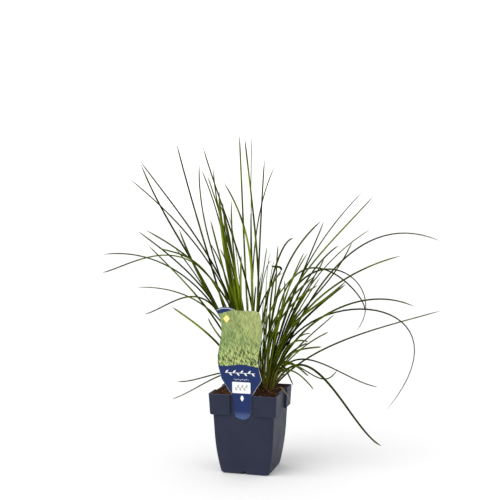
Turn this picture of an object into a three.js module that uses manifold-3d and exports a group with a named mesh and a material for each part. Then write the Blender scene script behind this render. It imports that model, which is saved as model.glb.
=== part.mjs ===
// A clump of tufted hair grass in a square nursery pot with a picture label.
// Millimetres, +Z up. The origin is the middle of the pot's underside. The label stands at the front, -Y.
import * as THREE from 'three';
import { mergeVertices } from 'three/addons/utils/BufferGeometryUtils.js';
import Module from 'manifold-3d';

const wasm = await Module();
wasm.setup();

// Pot
const POT_HEIGHT = 131;
const RIM_HALF = 56;
const COLLAR_FOOT = 97;
const COLLAR_FOOT_HALF = 54.2;
const COLLAR_CORNER = 4.5;
const BODY_FOOT_HALF = 45;
const BODY_TOP_HALF = 52.2;
const BODY_TUCK = 5.4;
const BODY_TUCK_HEIGHT = 65;
const BODY_RING_LEVELS = [18, 38, 65];
const BODY_FOOT_ROUND = 3.6;
const BODY_FOOT_SHARES = [0, 0.33, 0.66, 1];
const BODY_CORNER = 6;
const WALL = 1.6;
const FLOOR = 2;
const EDGE = 1.4;
const RECESS_HALF = 20;
const RECESS_ROUND = 5;
const CUT_PAST = 10;
const DRAIN_HOLE_RADIUS = 4.5;
const DRAIN_HOLE_OFFSET = 20;
const DRAIN_NOTCH_HALF = 3.6;
const DRAIN_NOTCH_HEIGHT = 5.5;
const DRAIN_NOTCH_DEPTH = 6;

// Compost
const CLEARANCE = 0.35;
const SOIL_TOP = 127.6;
const SOIL_HEAP = 3;
const SOIL_SLOPE_LENGTH = 40;
const SOIL_LUMP = 0.7;
const SOIL_LUMP_WAVES = { across: 0.41, along: 0.37, slantAcross: 0.83, slantAlong: 0.71 };
const SOIL_CELLS = 15;

// Label
const LABEL_THICKNESS = 0.7;
const LABEL_TOP = 265.3;
const LABEL_LEFT = -36.5;
const LABEL_RIGHT = 29.8;
const LABEL_WAVE = 3.2;
const LABEL_WAIST = 185;
const LABEL_WAVE_LENGTH = 100;
const LABEL_FOOT_WAVE_LENGTH = 72;
const LABEL_SHOULDER = 156;
const LABEL_NECK_HALF = 17;
const LABEL_CORNER = 9;
const LABEL_BOW = 6;
const CAP_LEFT = -42;
const CAP_RIGHT = -11;
const CAP_FOOT = 266.5;
const CAP_RISE = 4;
const CAP_END = [-39.4, 261];
const CAP_BLEND = 4;
const TONGUE_HALF = 15;
const TONGUE_FOOT_HALF = 13.3;
const TONGUE_TIP = 91.5;
const TONGUE_ROUND = 13;
const TONGUE_BULGE = 1;
const CLIP_HALF = 9;
const CLIP_DEPTH = 18;
const CLIP_ROOT = 5;
const CLIP_BITE = 0.4;
const CLIP_ARCH = 1.2;

// Dry leaves: foot, a third, two thirds and tip of each, and its width.
const DRY_STUB_RADIUS = 1.1;
const DRY_STUB_DEPTH = 12;
const DRY_STUB_TOP = 2;
const DRY_LEAF_TWIST = 40;
const DRY_LEAVES = {
  dry_leaf_over_rim: { points: [[44, 20, 129], [49, 8, 134], [55, -4, 134], [62, -16, 128]], width: 1.6 },
  dry_leaf_folded: { points: [[30, 40, 129], [36, 42, 141], [43, 43, 148], [50, 42, 149]], width: 1.8 },
};

// Grass. The leaves fan out in an upright plane that is turned a little from the pot's front.
const FAN_TURN = 15.6;
const SOIL = 131;
const LEAF_THICKNESS = 0.65;
const LEAF_KEEL = 0.42;
const LEAF_TURN = 75;
const LEAF_ROLL = 30;
const LEAF_TWIST = 40;
const TAPER_START = 0.5;
const TIP_WIDTH_SHARE = 0.75;
const TIP_WIDTH_MOST = 2.4;
const SHORT_LEAF = 170;
const CURLED_BEND = 70;
const LEAF_STEPS = { short: 4, long: 6, curled: 9 };
const ROOT_LEVEL = 127;
const FOOT_SPREAD = 28;
const FOOT_REACH = 0.6;

// How much of its way toward the viewer a leaf has come at a third and at two thirds of its length.
const TOWARD_SHARES = [0.22, 0.6];

// A fill leaf's shares of its reach and of its rise at a third and at two thirds of its length, its rise for
// its length, how much of that a full arch takes away, and the most that a tip droops.
const FILL_THIRD = [0.25, 0.4];
const FILL_TWO_THIRDS = [0.58, 0.76];
const FILL_RISE = 0.96;
const FILL_ARCH_LOSS = 0.4;
const FILL_DROOP = 0.15;
const FILL_SHORT_BIAS = 1.3;

// The crown's outline: share of its radius, and height over the soil.
const CROWN_SIDES = 12;
const CROWN_OUTLINE = [
  [0.5, -30],
  [0.85, -18],
  [1, -8],
  [1, -2],
  [0.6, 2],
];
const CROWN_TOP = 5;

// The surface between the two bunches, which curves over to the right with height.
const PARTING_ACROSS = 10;
const PARTING_TOWARD = -9;
const PARTING_CURVE = 0.0005;
const PARTING_TURN = 25;
const PARTING_CLEAR = 2.4;
const PARTING_SOFT = 9;

// Each leading leaf: across and up at a third of its length, at two thirds and at the tip, how far the tip
// comes toward the viewer, and the width. Across and up are in the fan plane. The fill's sector is in degrees
// round the crown, from the right over the back to the left.
const UPRIGHT = {
  seed: 11,
  across: -3,
  toward: -6,
  radius: 12,
  middle: -24,
  leading: [
    [-31, 268, -95, 386, -181, 502, -20, 2.6],
    [-54, 263, -118, 381, -174, 495, 30, 2.9],
    [-31, 262, -101, 376, -202, 473, -60, 2.5],
    [-46, 268, -84, 399, -119, 528, 10, 2.8],
    [-34, 259, -70, 376, -86, 498, -40, 2.6],
    [2, 262, -34, 394, -76, 522, 25, 2.9],
    [-12, 258, -42, 388, -69, 476, 20, 2.3],
    [-21, 258, -46, 383, -80, 487, -5, 2.3],
    [-15, 258, -44, 381, -62, 489, -30, 2.5],
    [-17, 236, -39, 345, -51, 453, 20, 9],
    [-11, 228, -27, 330, -44, 413, 28, 4],
    [-13, 241, -26, 339, -31, 438, 45, 2.6],
    [-16, 236, -36, 339, -47, 441, -45, 2.6],
    [-23, 236, -41, 317, -63, 407, 60, 3.4],
    [2, 248, -3, 358, -43, 466, 5, 3.2],
    [-7, 273, -13, 407, -19, 543, -15, 3.2],
    [13, 272, 5, 403, -10, 537, 8, 3.2],
    [3, 267, 0, 401, 1, 543, -25, 2.6],
    [10, 261, 15, 382, 22, 504, -30, 2.6],
    [1, 252, 8, 381, 39, 494, -60, 3.6],
    [2, 233, 0, 329, 0, 423, -40, 2.9],
    [-19, 220, -36, 301, -65, 371, 35, 2.6],
    [-13, 220, -24, 293, -50, 361, 15, 2.5],
    [-13, 205, -17, 277, -16, 350, 10, 5],
    [-14, 195, -22, 262, -33, 330, 15, 4],
    [-40, 228, -78, 300, -119, 390, -35, 4.6],
    [-23, 244, -78, 328, -165, 391, 40, 2.8],
    [-44, 241, -103, 320, -186, 387, -30, 2.9],
    [-44, 223, -98, 301, -158, 368, 70, 2.8],
    [-46, 244, -126, 328, -237, 352, 15, 2.8],
    [-75, 320, -168, 345, -248, 318, -45, 2.5],
    [-35, 223, -94, 283, -177, 303, 60, 2.6],
    [-62, 264, -122, 273, -181, 245, -70, 2.5],
    [-38, 187, -78, 231, -125, 268, 30, 3.2],
    [-21, 177, -47, 216, -68, 253, 45, 2.8],
    [-28, 157, -74, 149, -121, 140, -15, 2.3],
    [-30, 158, -78, 141, -127, 119, 25, 3.6],
    [-52, 290, -103, 349, -144, 364, 55, 2.6],
    [-34, 212, -78, 293, -126, 356, -55, 2.6],
    [9, 231, 17, 302, 26, 362, -20, 2],
    [8, 215, 14, 270, 23, 324, 10, 2.2],
    [6, 229, 27, 285, 53, 320, -72, 3.2],
  ],
  brokenTip: { points: [[53, -72, 320], [49, -72, 325], [42, -72, 326], [35, -72, 327]], width: 3.4 },
  fill: { count: 15, sector: [50, 160], length: [90, 330], reach: [0.05, 0.6], width: [2, 3.2] },
};
const LEANING = {
  seed: 29,
  across: 27,
  toward: -12,
  radius: 12,
  middle: 46,
  leading: [
    [57, 252, 108, 359, 182, 452, -20, 2.6],
    [49, 255, 115, 357, 193, 445, 35, 3.2],
    [60, 235, 112, 325, 184, 392, 55, 2.8],
    [87, 256, 176, 363, 303, 374, 10, 2.8],
    [69, 234, 143, 310, 231, 352, 65, 3],
    [53, 199, 102, 255, 157, 299, -35, 3.6],
    [79, 219, 163, 275, 256, 272, 50, 3],
    [122, 249, 251, 236, 227, 92, -25, 2.6],
    [109, 190, 203, 231, 301, 262, 30, 3.6],
    [86, 309, 172, 307, 179, 218, -60, 2.8],
    [75, 317, 153, 307, 186, 258, -20, 2.5],
    [79, 180, 138, 167, 198, 147, 65, 2.6],
    [96, 166, 155, 104, 208, 46, 35, 3.4],
    [53, 161, 78, 158, 99, 139, 45, 2.4],
    [43, 169, 55, 169, 66, 149, 60, 4],
    [47, 170, 67, 176, 91, 161, 50, 3.6],
    [66, 168, 106, 147, 143, 156, -30, 2.3],
    [58, 174, 90, 210, 120, 234, 70, 2.9],
    [54, 177, 80, 197, 113, 204, 25, 3.2],
    [50, 169, 72, 190, 94, 200, -40, 2.8],
    [52, 186, 70, 212, 90, 216, 50, 3],
    [32, 231, 54, 325, 109, 405, 40, 3.2],
    [49, 223, 84, 317, 120, 403, -30, 3.2],
    [55, 231, 93, 313, 140, 366, 15, 3],
    [57, 220, 115, 288, 172, 371, -65, 2.5],
    [37, 207, 53, 280, 87, 355, 60, 2.9],
    [40, 217, 60, 294, 85, 355, 20, 2.9],
    [22, 204, 24, 277, 50, 325, 50, 3.6],
    [21, 215, 39, 277, 73, 322, 30, 2.8],
    [28, 205, 40, 288, 37, 365, -20, 2.4],
    [24, 208, 24, 280, 30, 355, 25, 2.5],
    [24, 207, 27, 277, 36, 343, 45, 2.6],
    [29, 197, 31, 261, 40, 321, 5, 3.2],
    [36, 203, 49, 266, 53, 312, 40, 2.6],
    [24, 187, 26, 241, 39, 279, 55, 2.9],
    [23, 205, 48, 264, 97, 318, 50, 4],
    [27, 200, 56, 262, 104, 306, 60, 2.9],
    [51, 214, 90, 261, 147, 312, 62, 3.6],
    [43, 184, 68, 245, 110, 318, 40, 3.6],
    [17, 190, 20, 235, 38, 275, 58, 3],
    [15, 175, 15, 215, 22, 262, 30, 3],
    [12, 168, 13, 203, 18, 240, 25, 3],
    [14, 162, 14, 190, 20, 222, 45, 3.2],
    [12, 180, 14, 225, 12, 280, -5, 2.8],
    [62, 180, 98, 221, 133, 255, 20, 2.4],
    [58, 226, 84, 277, 105, 321, 0, 2.4],
    [62, 238, 95, 300, 120, 343, -20, 2.4],
  ],
  fill: { count: 12, sector: [-50, 96], length: [60, 190], reach: [0.08, 0.55], width: [2, 3.4] },
};

const material = (color, roughness) =>
  new THREE.MeshStandardMaterial({ color, roughness, metalness: 0, side: THREE.FrontSide });
const potPlastic = material(0x383c4e, 0.55);
const compostBrown = material(0x4a2b18, 0.95);
const leafGreen = material(0x47651c, 0.6);
const strawYellow = material(0xc9b98c, 0.8);
const labelGreen = material(0x8fae68, 0.35);

// Solids

// Corners closer together than this are one corner.
const MERGE_DISTANCE = 1e-3;

function solidOf(geometry) {
  const bare = geometry.clone();
  bare.deleteAttribute('normal');
  bare.deleteAttribute('uv');
  const merged = mergeVertices(bare, MERGE_DISTANCE);
  return new wasm.Manifold(
    new wasm.Mesh({
      numProp: 3,
      vertProperties: new Float32Array(merged.attributes.position.array),
      triVerts: new Uint32Array(merged.index.array),
    }),
  );
}

function geometryOf(solid) {
  const { vertProperties, triVerts } = solid.getMesh();
  const geometry = new THREE.BufferGeometry();
  geometry.setAttribute('position', new THREE.BufferAttribute(new Float32Array(vertProperties), 3));
  geometry.setIndex(new THREE.BufferAttribute(new Uint32Array(triVerts), 1));
  return geometry;
}

function joined(solids) {
  if (solids.length === 1) return solids[0];
  const half = Math.ceil(solids.length / 2);
  return joined(solids.slice(0, half)).add(joined(solids.slice(half)));
}

// The largest piece alone, so that no small hollow is left sealed inside it.
function wholeOnly(solid) {
  return solid.decompose().reduce((best, piece) => (piece.volume() > best.volume() ? piece : best));
}

// A closed skin over rings of the same count, which all turn anticlockwise seen from the last one.
function loft(rings) {
  const size = rings[0].length;
  const points = rings.flat();
  const faces = [];
  for (let r = 0; r < rings.length - 1; r++) {
    for (let i = 0; i < size; i++) {
      const a = r * size + i;
      const b = r * size + ((i + 1) % size);
      faces.push(a, b, b + size, a, b + size, a + size);
    }
  }
  const last = (rings.length - 1) * size;
  for (let i = 1; i < size - 1; i++) {
    faces.push(0, i + 1, i, last, last + i, last + i + 1);
  }
  const geometry = new THREE.BufferGeometry().setFromPoints(points);
  geometry.setIndex(faces);
  return geometry;
}

// Pot

function roundedSquare(half, corner, z, arcSteps = 3) {
  const ring = [];
  for (let quarter = 0; quarter < 4; quarter++) {
    for (let step = 0; step <= arcSteps; step++) {
      const angle = ((quarter + step / arcSteps) * Math.PI) / 2;
      const middle = ((quarter + 0.5) * Math.PI) / 2;
      const offset = (half - corner) * Math.SQRT2;
      ring.push(
        new THREE.Vector3(
          offset * Math.cos(middle) + corner * Math.cos(angle),
          offset * Math.sin(middle) + corner * Math.sin(angle),
          z,
        ),
      );
    }
  }
  return ring;
}

// The body tapers evenly, and its sides curve in further toward the foot.
function bodyHalfAt(z) {
  const tuck = Math.max(0, 1 - z / BODY_TUCK_HEIGHT);
  return BODY_FOOT_HALF + ((BODY_TOP_HALF - BODY_FOOT_HALF) * z) / POT_HEIGHT - BODY_TUCK * tuck * tuck;
}

const collarHalfAt = (z) =>
  COLLAR_FOOT_HALF + ((RIM_HALF - COLLAR_FOOT_HALF) * (z - COLLAR_FOOT)) / (POT_HEIGHT - COLLAR_FOOT);

// Clears the middle of all four sides between the corner pads, whose lower corners are round.
function recessCutter(inset) {
  const half = RECESS_HALF + inset;
  const foot = COLLAR_FOOT + inset;
  const outer = half + RECESS_ROUND;
  const outline = new THREE.Shape();
  outline.moveTo(-outer, foot - CUT_PAST);
  outline.lineTo(outer, foot - CUT_PAST);
  outline.lineTo(outer, foot);
  outline.absarc(outer, foot + RECESS_ROUND, RECESS_ROUND, -Math.PI / 2, -Math.PI, true);
  outline.lineTo(half, POT_HEIGHT + CUT_PAST);
  outline.lineTo(-half, POT_HEIGHT + CUT_PAST);
  outline.absarc(-outer, foot + RECESS_ROUND, RECESS_ROUND, 0, -Math.PI / 2, true);
  const options = { depth: 4 * RIM_HALF, bevelEnabled: false, curveSegments: 5 };
  const slot = new THREE.ExtrudeGeometry(outline, options);
  slot.translate(0, 0, -2 * RIM_HALF);
  slot.rotateX(Math.PI / 2);
  const across = slot.clone().rotateZ(Math.PI / 2);
  return solidOf(slot).add(solidOf(across));
}

// An arched notch in the foot of each side. The wall goes round it on the inside.
function drainNotches(inset, low) {
  const half = DRAIN_NOTCH_HALF + inset;
  const top = DRAIN_NOTCH_HEIGHT + inset;
  const outline = new THREE.Shape();
  outline.moveTo(-half, low - CUT_PAST);
  outline.lineTo(half, low - CUT_PAST);
  outline.lineTo(half, top - half);
  outline.absarc(0, top - half, half, 0, Math.PI, false);
  const depth = DRAIN_NOTCH_DEPTH + inset + CUT_PAST;
  const inner = BODY_FOOT_HALF - BODY_TUCK - DRAIN_NOTCH_DEPTH - inset;
  const cutters = [];
  for (let side = 0; side < 4; side++) {
    const notch = new THREE.ExtrudeGeometry(outline, { depth, bevelEnabled: false, curveSegments: 4 });
    notch.rotateX(Math.PI / 2);
    notch.translate(0, -inner, 0);
    notch.rotateZ((side * Math.PI) / 2);
    cutters.push(solidOf(notch));
  }
  return joined(cutters);
}

// The pot's form, drawn in on every side by an inset, from a lowest to a highest level.
function potForm(inset, low, high) {
  const bodyCorner = BODY_CORNER - inset;
  const collarCorner = COLLAR_CORNER - inset;
  const padFoot = COLLAR_FOOT + inset;
  const footRing = (share) => {
    const angle = (share * Math.PI) / 2;
    const up = low + BODY_FOOT_ROUND * (1 - Math.cos(angle));
    return roundedSquare(bodyHalfAt(up) - inset - BODY_FOOT_ROUND * (1 - Math.sin(angle)), bodyCorner, up);
  };
  const sideRing = (up) => roundedSquare(bodyHalfAt(up) - inset, bodyCorner, up);
  const body = loft([
    ...BODY_FOOT_SHARES.map(footRing),
    ...BODY_RING_LEVELS.map(sideRing),
    sideRing(high),
  ]);
  const collar = loft([
    roundedSquare(collarHalfAt(padFoot) - inset - EDGE, collarCorner, padFoot),
    roundedSquare(collarHalfAt(padFoot + EDGE) - inset, collarCorner, padFoot + EDGE),
    roundedSquare(collarHalfAt(high) - inset, collarCorner, high),
  ]);
  return solidOf(collar).subtract(recessCutter(inset)).add(solidOf(body)).subtract(drainNotches(inset, low));
}

function drainHoles() {
  const cutters = [];
  for (let side = 0; side < 4; side++) {
    const hole = new THREE.CylinderGeometry(DRAIN_HOLE_RADIUS, DRAIN_HOLE_RADIUS, 4 * FLOOR, 12);
    hole.rotateX(Math.PI / 2);
    hole.translate(DRAIN_HOLE_OFFSET, DRAIN_HOLE_OFFSET, 0);
    hole.rotateZ((side * Math.PI) / 2);
    cutters.push(solidOf(hole));
  }
  return joined(cutters);
}

function makePot() {
  return potForm(0, 0, POT_HEIGHT).subtract(potForm(WALL, FLOOR, POT_HEIGHT + 1)).subtract(drainHoles());
}

// Compost

// Heaped to the rim at the left and the back, a little lower at the front right, with lumps all over.
function soilLevel(x, y) {
  const heap = SOIL_HEAP * (0.5 + 0.5 * Math.tanh((y * 0.6 - x) / SOIL_SLOPE_LENGTH));
  const { across, along, slantAcross, slantAlong } = SOIL_LUMP_WAVES;
  const broad = Math.sin(x * across + 1.3) * Math.sin(y * along - 0.6);
  const slanted = 0.7 * Math.sin(x * slantAcross + y * slantAlong);
  return SOIL_TOP + heap + SOIL_LUMP * (broad + slanted);
}

function soilBlock(reach, floor) {
  const cells = SOIL_CELLS;
  const points = [];
  const faces = [];
  const count = cells + 1;
  for (const top of [false, true]) {
    for (let j = 0; j < count; j++) {
      for (let i = 0; i < count; i++) {
        const x = ((2 * i) / cells - 1) * reach;
        const y = ((2 * j) / cells - 1) * reach;
        points.push(new THREE.Vector3(x, y, top ? soilLevel(x, y) : floor));
      }
    }
  }
  const at = (i, j, top) => (top ? count * count : 0) + j * count + i;
  const quad = (a, b, c, d) => faces.push(a, b, c, a, c, d);
  for (let j = 0; j < cells; j++) {
    for (let i = 0; i < cells; i++) {
      quad(at(i, j, 1), at(i + 1, j, 1), at(i + 1, j + 1, 1), at(i, j + 1, 1));
      quad(at(i, j, 0), at(i, j + 1, 0), at(i + 1, j + 1, 0), at(i + 1, j, 0));
    }
  }
  for (let k = 0; k < cells; k++) {
    quad(at(k, 0, 0), at(k + 1, 0, 0), at(k + 1, 0, 1), at(k, 0, 1));
    quad(at(k + 1, cells, 0), at(k, cells, 0), at(k, cells, 1), at(k + 1, cells, 1));
    quad(at(0, k + 1, 0), at(0, k, 0), at(0, k, 1), at(0, k + 1, 1));
    quad(at(cells, k, 0), at(cells, k + 1, 0), at(cells, k + 1, 1), at(cells, k, 1));
  }
  const geometry = new THREE.BufferGeometry().setFromPoints(points);
  geometry.setIndex(faces);
  return solidOf(geometry);
}

function makeCompost(holes) {
  const filled = potForm(WALL + CLEARANCE, FLOOR + CLEARANCE, POT_HEIGHT + SOIL_HEAP);
  return filled.intersect(soilBlock(RIM_HALF, 0)).subtract(joined(holes));
}

// Leaves

const radians = THREE.MathUtils.degToRad;

// A point given across and toward the viewer in the fan plane, and up.
function fanPoint(across, toward, up) {
  const turn = radians(FAN_TURN);
  return new THREE.Vector3(
    across * Math.cos(turn) + toward * Math.sin(turn),
    across * Math.sin(turn) - toward * Math.cos(turn),
    up,
  );
}

// A seeded draw between 0 and 1, the same every time.
function seededDraw(seed) {
  let state = seed;
  return () => {
    state = (state + 0x6d2b79f5) | 0;
    let mixed = Math.imul(state ^ (state >>> 15), 1 | state);
    mixed = (mixed + Math.imul(mixed ^ (mixed >>> 7), 61 | mixed)) ^ mixed;
    return ((mixed ^ (mixed >>> 14)) >>> 0) / 4294967296;
  };
}

// The two bunches keep to their own sides of the parting, and a leaf that would cross it bends clear.
function bentClear([across, toward, up], side) {
  const turn = radians(PARTING_TURN);
  const line = PARTING_ACROSS + PARTING_CURVE * (up - SOIL) ** 2;
  const distance = side * ((across - line) * Math.cos(turn) + (toward - PARTING_TOWARD) * Math.sin(turn));
  if (distance >= PARTING_SOFT) return [across, toward, up];
  const band = PARTING_SOFT - PARTING_CLEAR;
  const kept = PARTING_CLEAR + band * Math.exp((distance - PARTING_SOFT) / band);
  const push = side * (kept - distance);
  return [across + push * Math.cos(turn), toward + push * Math.sin(turn), up];
}

// The cubic through four points at the start, a third, two thirds and the end.
function throughFour(points, t) {
  const s = 3 * t;
  const weights = [
    -((s - 1) * (s - 2) * (s - 3)) / 6,
    (s * (s - 2) * (s - 3)) / 2,
    -(s * (s - 1) * (s - 3)) / 2,
    (s * (s - 1) * (s - 2)) / 6,
  ];
  return points[0].map((_, axis) => weights.reduce((sum, w, k) => sum + w * points[k][axis], 0));
}

function leadingLeaf(bunch, row, draw) {
  const [across1, up1, across2, up2, tipAcross, tipUp, tipToward, width] = row;
  const footReach = FOOT_REACH * bunch.radius;
  const foot = [
    bunch.across + footReach * THREE.MathUtils.clamp((across1 - bunch.middle) / FOOT_SPREAD, -1, 1),
    bunch.toward + footReach * (2 * draw() - 1),
    ROOT_LEVEL,
  ];
  const towardAt = (share) => foot[1] + (tipToward - foot[1]) * share;
  const third = [across1, towardAt(TOWARD_SHARES[0]), up1];
  const twoThirds = [across2, towardAt(TOWARD_SHARES[1]), up2];
  return {
    points: [foot, third, twoThirds, [tipAcross, tipToward, tipUp]],
    width,
    roll: LEAF_TURN + LEAF_ROLL * (2 * draw() - 1),
    twist: LEAF_TWIST * (2 * draw() - 1),
  };
}

// A leaf by rule: the more it arches, the further it reaches out and the more its tip droops.
function fillLeaf(bunch, draw) {
  const { sector, length, reach, width } = bunch.fill;
  const between = ([low, high], share) => low + (high - low) * share;
  const angle = radians(between(sector, draw()));
  const arch = draw();
  const size = between(length, draw() ** FILL_SHORT_BIAS);
  const out = size * between(reach, arch);
  const rise = size * (FILL_RISE - FILL_ARCH_LOSS * arch * arch);
  const droop = FILL_DROOP * arch * draw();
  const around = FOOT_REACH * bunch.radius * Math.sqrt(draw());
  const foot = [
    bunch.across + around * Math.cos(angle),
    bunch.toward - around * Math.sin(angle),
    ROOT_LEVEL,
  ];
  const at = ([outShare, upShare]) => [
    foot[0] + out * outShare * Math.cos(angle),
    foot[1] - out * outShare * Math.sin(angle),
    foot[2] + rise * upShare,
  ];
  return {
    points: [foot, at(FILL_THIRD), at(FILL_TWO_THIRDS), at([1, 1 - droop])],
    width: between(width, draw()),
    roll: LEAF_TURN + LEAF_ROLL * (2 * draw() - 1),
    twist: LEAF_TWIST * (2 * draw() - 1),
  };
}

// The angle in degrees that a leaf turns through from foot to tip.
function bendOf(points) {
  const places = points.map((point) => new THREE.Vector3(...point));
  const chords = [0, 1, 2].map((k) => places[k + 1].clone().sub(places[k]));
  return THREE.MathUtils.radToDeg(chords[0].angleTo(chords[1]) + chords[1].angleTo(chords[2]));
}

function stepsFor(points) {
  if (bendOf(points) > CURLED_BEND) return LEAF_STEPS.curled;
  const length = new THREE.Vector3(...points[3]).distanceTo(new THREE.Vector3(...points[0]));
  return length > SHORT_LEAF ? LEAF_STEPS.long : LEAF_STEPS.short;
}

// A narrow three-sided leaf with a keel along it, which tapers over its outer half.
function leafSolid({ points, width, roll, twist }, place) {
  const steps = stepsFor(points);
  const path = [];
  for (let step = 0; step <= steps; step++) {
    path.push(place(throughFour(points, step / steps)));
  }
  const heading = path[steps].clone().sub(path[0]).setZ(0).normalize();
  const level = new THREE.Vector3(-heading.y, heading.x, 0);
  const rings = path.map((point, step) => {
    const along = step / steps;
    const before = path[Math.max(0, step - 1)];
    const after = path[Math.min(steps, step + 1)];
    const tangent = after.clone().sub(before).normalize();
    const edge = level.clone().addScaledVector(tangent, -level.dot(tangent)).normalize();
    edge.applyAxisAngle(tangent, radians(roll + twist * along));
    const face = tangent.clone().cross(edge);
    const outer = Math.max(0, along - TAPER_START) / (1 - TAPER_START);
    const taper = 1 - (1 - Math.min(TIP_WIDTH_SHARE, TIP_WIDTH_MOST / width)) * outer;
    const half = Math.max(0.5 * width * taper, 0.5 * LEAF_THICKNESS);
    const keel = Math.max(LEAF_KEEL * width * taper, LEAF_THICKNESS);
    return [
      point.clone().addScaledVector(edge, half),
      point.clone().addScaledVector(face, keel),
      point.clone().addScaledVector(edge, -half),
    ];
  });
  return solidOf(loft(rings));
}

// The crown that the leaves grow from, with its stub below the compost's surface.
function crownSolid(bunch, gap) {
  const [footShare, foot] = CROWN_OUTLINE[0];
  const profile = [
    [0, foot - gap],
    [footShare * bunch.radius + gap, foot - gap],
    ...CROWN_OUTLINE.slice(1).map(([share, up]) => [share * bunch.radius + gap, up]),
    [0, CROWN_TOP + gap],
  ].map(([across, up]) => new THREE.Vector2(across, SOIL + up));
  const crown = new THREE.LatheGeometry(profile, CROWN_SIDES);
  crown.rotateX(Math.PI / 2);
  const seat = fanPoint(bunch.across, bunch.toward, 0);
  crown.translate(seat.x, seat.y, 0);
  return solidOf(crown);
}

function makeBunch(bunch, side) {
  const draw = seededDraw(bunch.seed);
  const leaves = bunch.leading.map((row) => leadingLeaf(bunch, row, draw));
  for (let i = 0; i < bunch.fill.count; i++) {
    leaves.push(fillLeaf(bunch, draw));
  }
  if (bunch.brokenTip) leaves.push({ ...bunch.brokenTip, roll: LEAF_TURN, twist: 0 });
  const place = (point) => fanPoint(...bentClear(point, side));
  const fused = joined([crownSolid(bunch, 0), ...leaves.map((leaf) => leafSolid(leaf, place))]);
  return wholeOnly(solidOf(geometryOf(fused)));
}

// The round foot of a dry leaf in the compost.
function dryStub({ points }, gap) {
  const [x, y, level] = points[0];
  const radius = DRY_STUB_RADIUS + gap;
  const stub = new THREE.CylinderGeometry(radius, radius, DRY_STUB_DEPTH + 2 * gap, 8);
  stub.rotateX(Math.PI / 2);
  stub.translate(x, y, level + DRY_STUB_TOP - DRY_STUB_DEPTH / 2);
  return solidOf(stub);
}

function makeDryLeaf(leaf) {
  const place = (point) => new THREE.Vector3(...point);
  return dryStub(leaf, 0).add(leafSolid({ ...leaf, roll: LEAF_TURN, twist: DRY_LEAF_TWIST }, place));
}

// Label

// How far the wavy sides swing at a level.
function labelWave(up) {
  const length = up > LABEL_WAIST ? LABEL_WAVE_LENGTH : LABEL_FOOT_WAVE_LENGTH;
  return -LABEL_WAVE * Math.cos((2 * Math.PI * (up - LABEL_WAIST)) / length);
}

function labelOutline() {
  const side = (edge, from, to) => {
    const count = 10;
    return Array.from({ length: count + 1 }, (_, k) => {
      const up = from + ((to - from) * k) / count;
      return new THREE.Vector2(edge + labelWave(up), up);
    });
  };
  const capMiddle = (CAP_LEFT + CAP_RIGHT) / 2;
  const capHalf = (CAP_RIGHT - CAP_LEFT) / 2;
  const capRadius = (capHalf ** 2 + CAP_RISE ** 2) / (2 * CAP_RISE);
  const capCentre = CAP_FOOT + CAP_RISE - capRadius;
  const capStart = Math.acos(capHalf / capRadius);
  const tongueEnd = TONGUE_TIP + TONGUE_ROUND;
  const tongueLow = TONGUE_TIP + TONGUE_BULGE;
  const outline = new THREE.Shape();
  outline.moveTo(0, TONGUE_TIP);
  outline.quadraticCurveTo(TONGUE_FOOT_HALF, tongueLow, TONGUE_FOOT_HALF, tongueEnd);
  outline.lineTo(TONGUE_HALF, POT_HEIGHT - 1);
  outline.lineTo(LABEL_NECK_HALF, POT_HEIGHT + 1);
  for (const point of side(LABEL_RIGHT, LABEL_SHOULDER, LABEL_TOP - LABEL_CORNER)) {
    outline.lineTo(point.x, point.y);
  }
  const cornerAcross = LABEL_RIGHT + labelWave(LABEL_TOP - LABEL_CORNER);
  outline.quadraticCurveTo(cornerAcross, LABEL_TOP, cornerAcross - LABEL_CORNER, LABEL_TOP);
  outline.lineTo(CAP_RIGHT, LABEL_TOP);
  outline.absarc(capMiddle, capCentre, capRadius, capStart, Math.PI - capStart, false);
  outline.lineTo(...CAP_END);
  for (const point of side(LABEL_LEFT, CAP_END[1] - CAP_BLEND, LABEL_SHOULDER)) {
    outline.lineTo(point.x, point.y);
  }
  outline.lineTo(-LABEL_NECK_HALF, POT_HEIGHT + 1);
  outline.lineTo(-TONGUE_HALF, POT_HEIGHT - 1);
  outline.lineTo(-TONGUE_FOOT_HALF, tongueEnd);
  outline.quadraticCurveTo(-TONGUE_FOOT_HALF, tongueLow, 0, TONGUE_TIP);
  return outline;
}

// The card's back face: in front of the recess wall, leaning out with it, and bowed back toward the top.
function labelBack(up) {
  const rise = Math.max(0, up - POT_HEIGHT) / (LABEL_TOP - POT_HEIGHT);
  return -(bodyHalfAt(up) + CLEARANCE) + LABEL_BOW * rise * rise;
}

// The clip behind the card goes over the rim and down inside the wall. With a gap it is the compost's slot.
function clipSolid(gap) {
  const over = POT_HEIGHT + CLEARANCE;
  const inside = (up, out) => -(bodyHalfAt(up) - WALL - CLEARANCE) + out;
  const foot = over - CLIP_DEPTH - gap;
  const outline = new THREE.Shape([
    new THREE.Vector2(labelBack(over + CLIP_ROOT) - CLIP_BITE, over + CLIP_ROOT),
    new THREE.Vector2(labelBack(over) - CLIP_BITE, over),
    new THREE.Vector2(inside(over, -gap), over),
    new THREE.Vector2(inside(foot, -gap), foot),
    new THREE.Vector2(inside(foot, LABEL_THICKNESS + gap), foot),
    new THREE.Vector2(inside(over + CLIP_ARCH, LABEL_THICKNESS + gap), over + CLIP_ARCH),
  ]);
  const clip = new THREE.ExtrudeGeometry(outline, { depth: 2 * (CLIP_HALF + gap), bevelEnabled: false });
  clip.rotateX(Math.PI / 2);
  clip.rotateZ(Math.PI / 2);
  clip.translate(-(CLIP_HALF + gap), 0, 0);
  return solidOf(clip);
}

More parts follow.
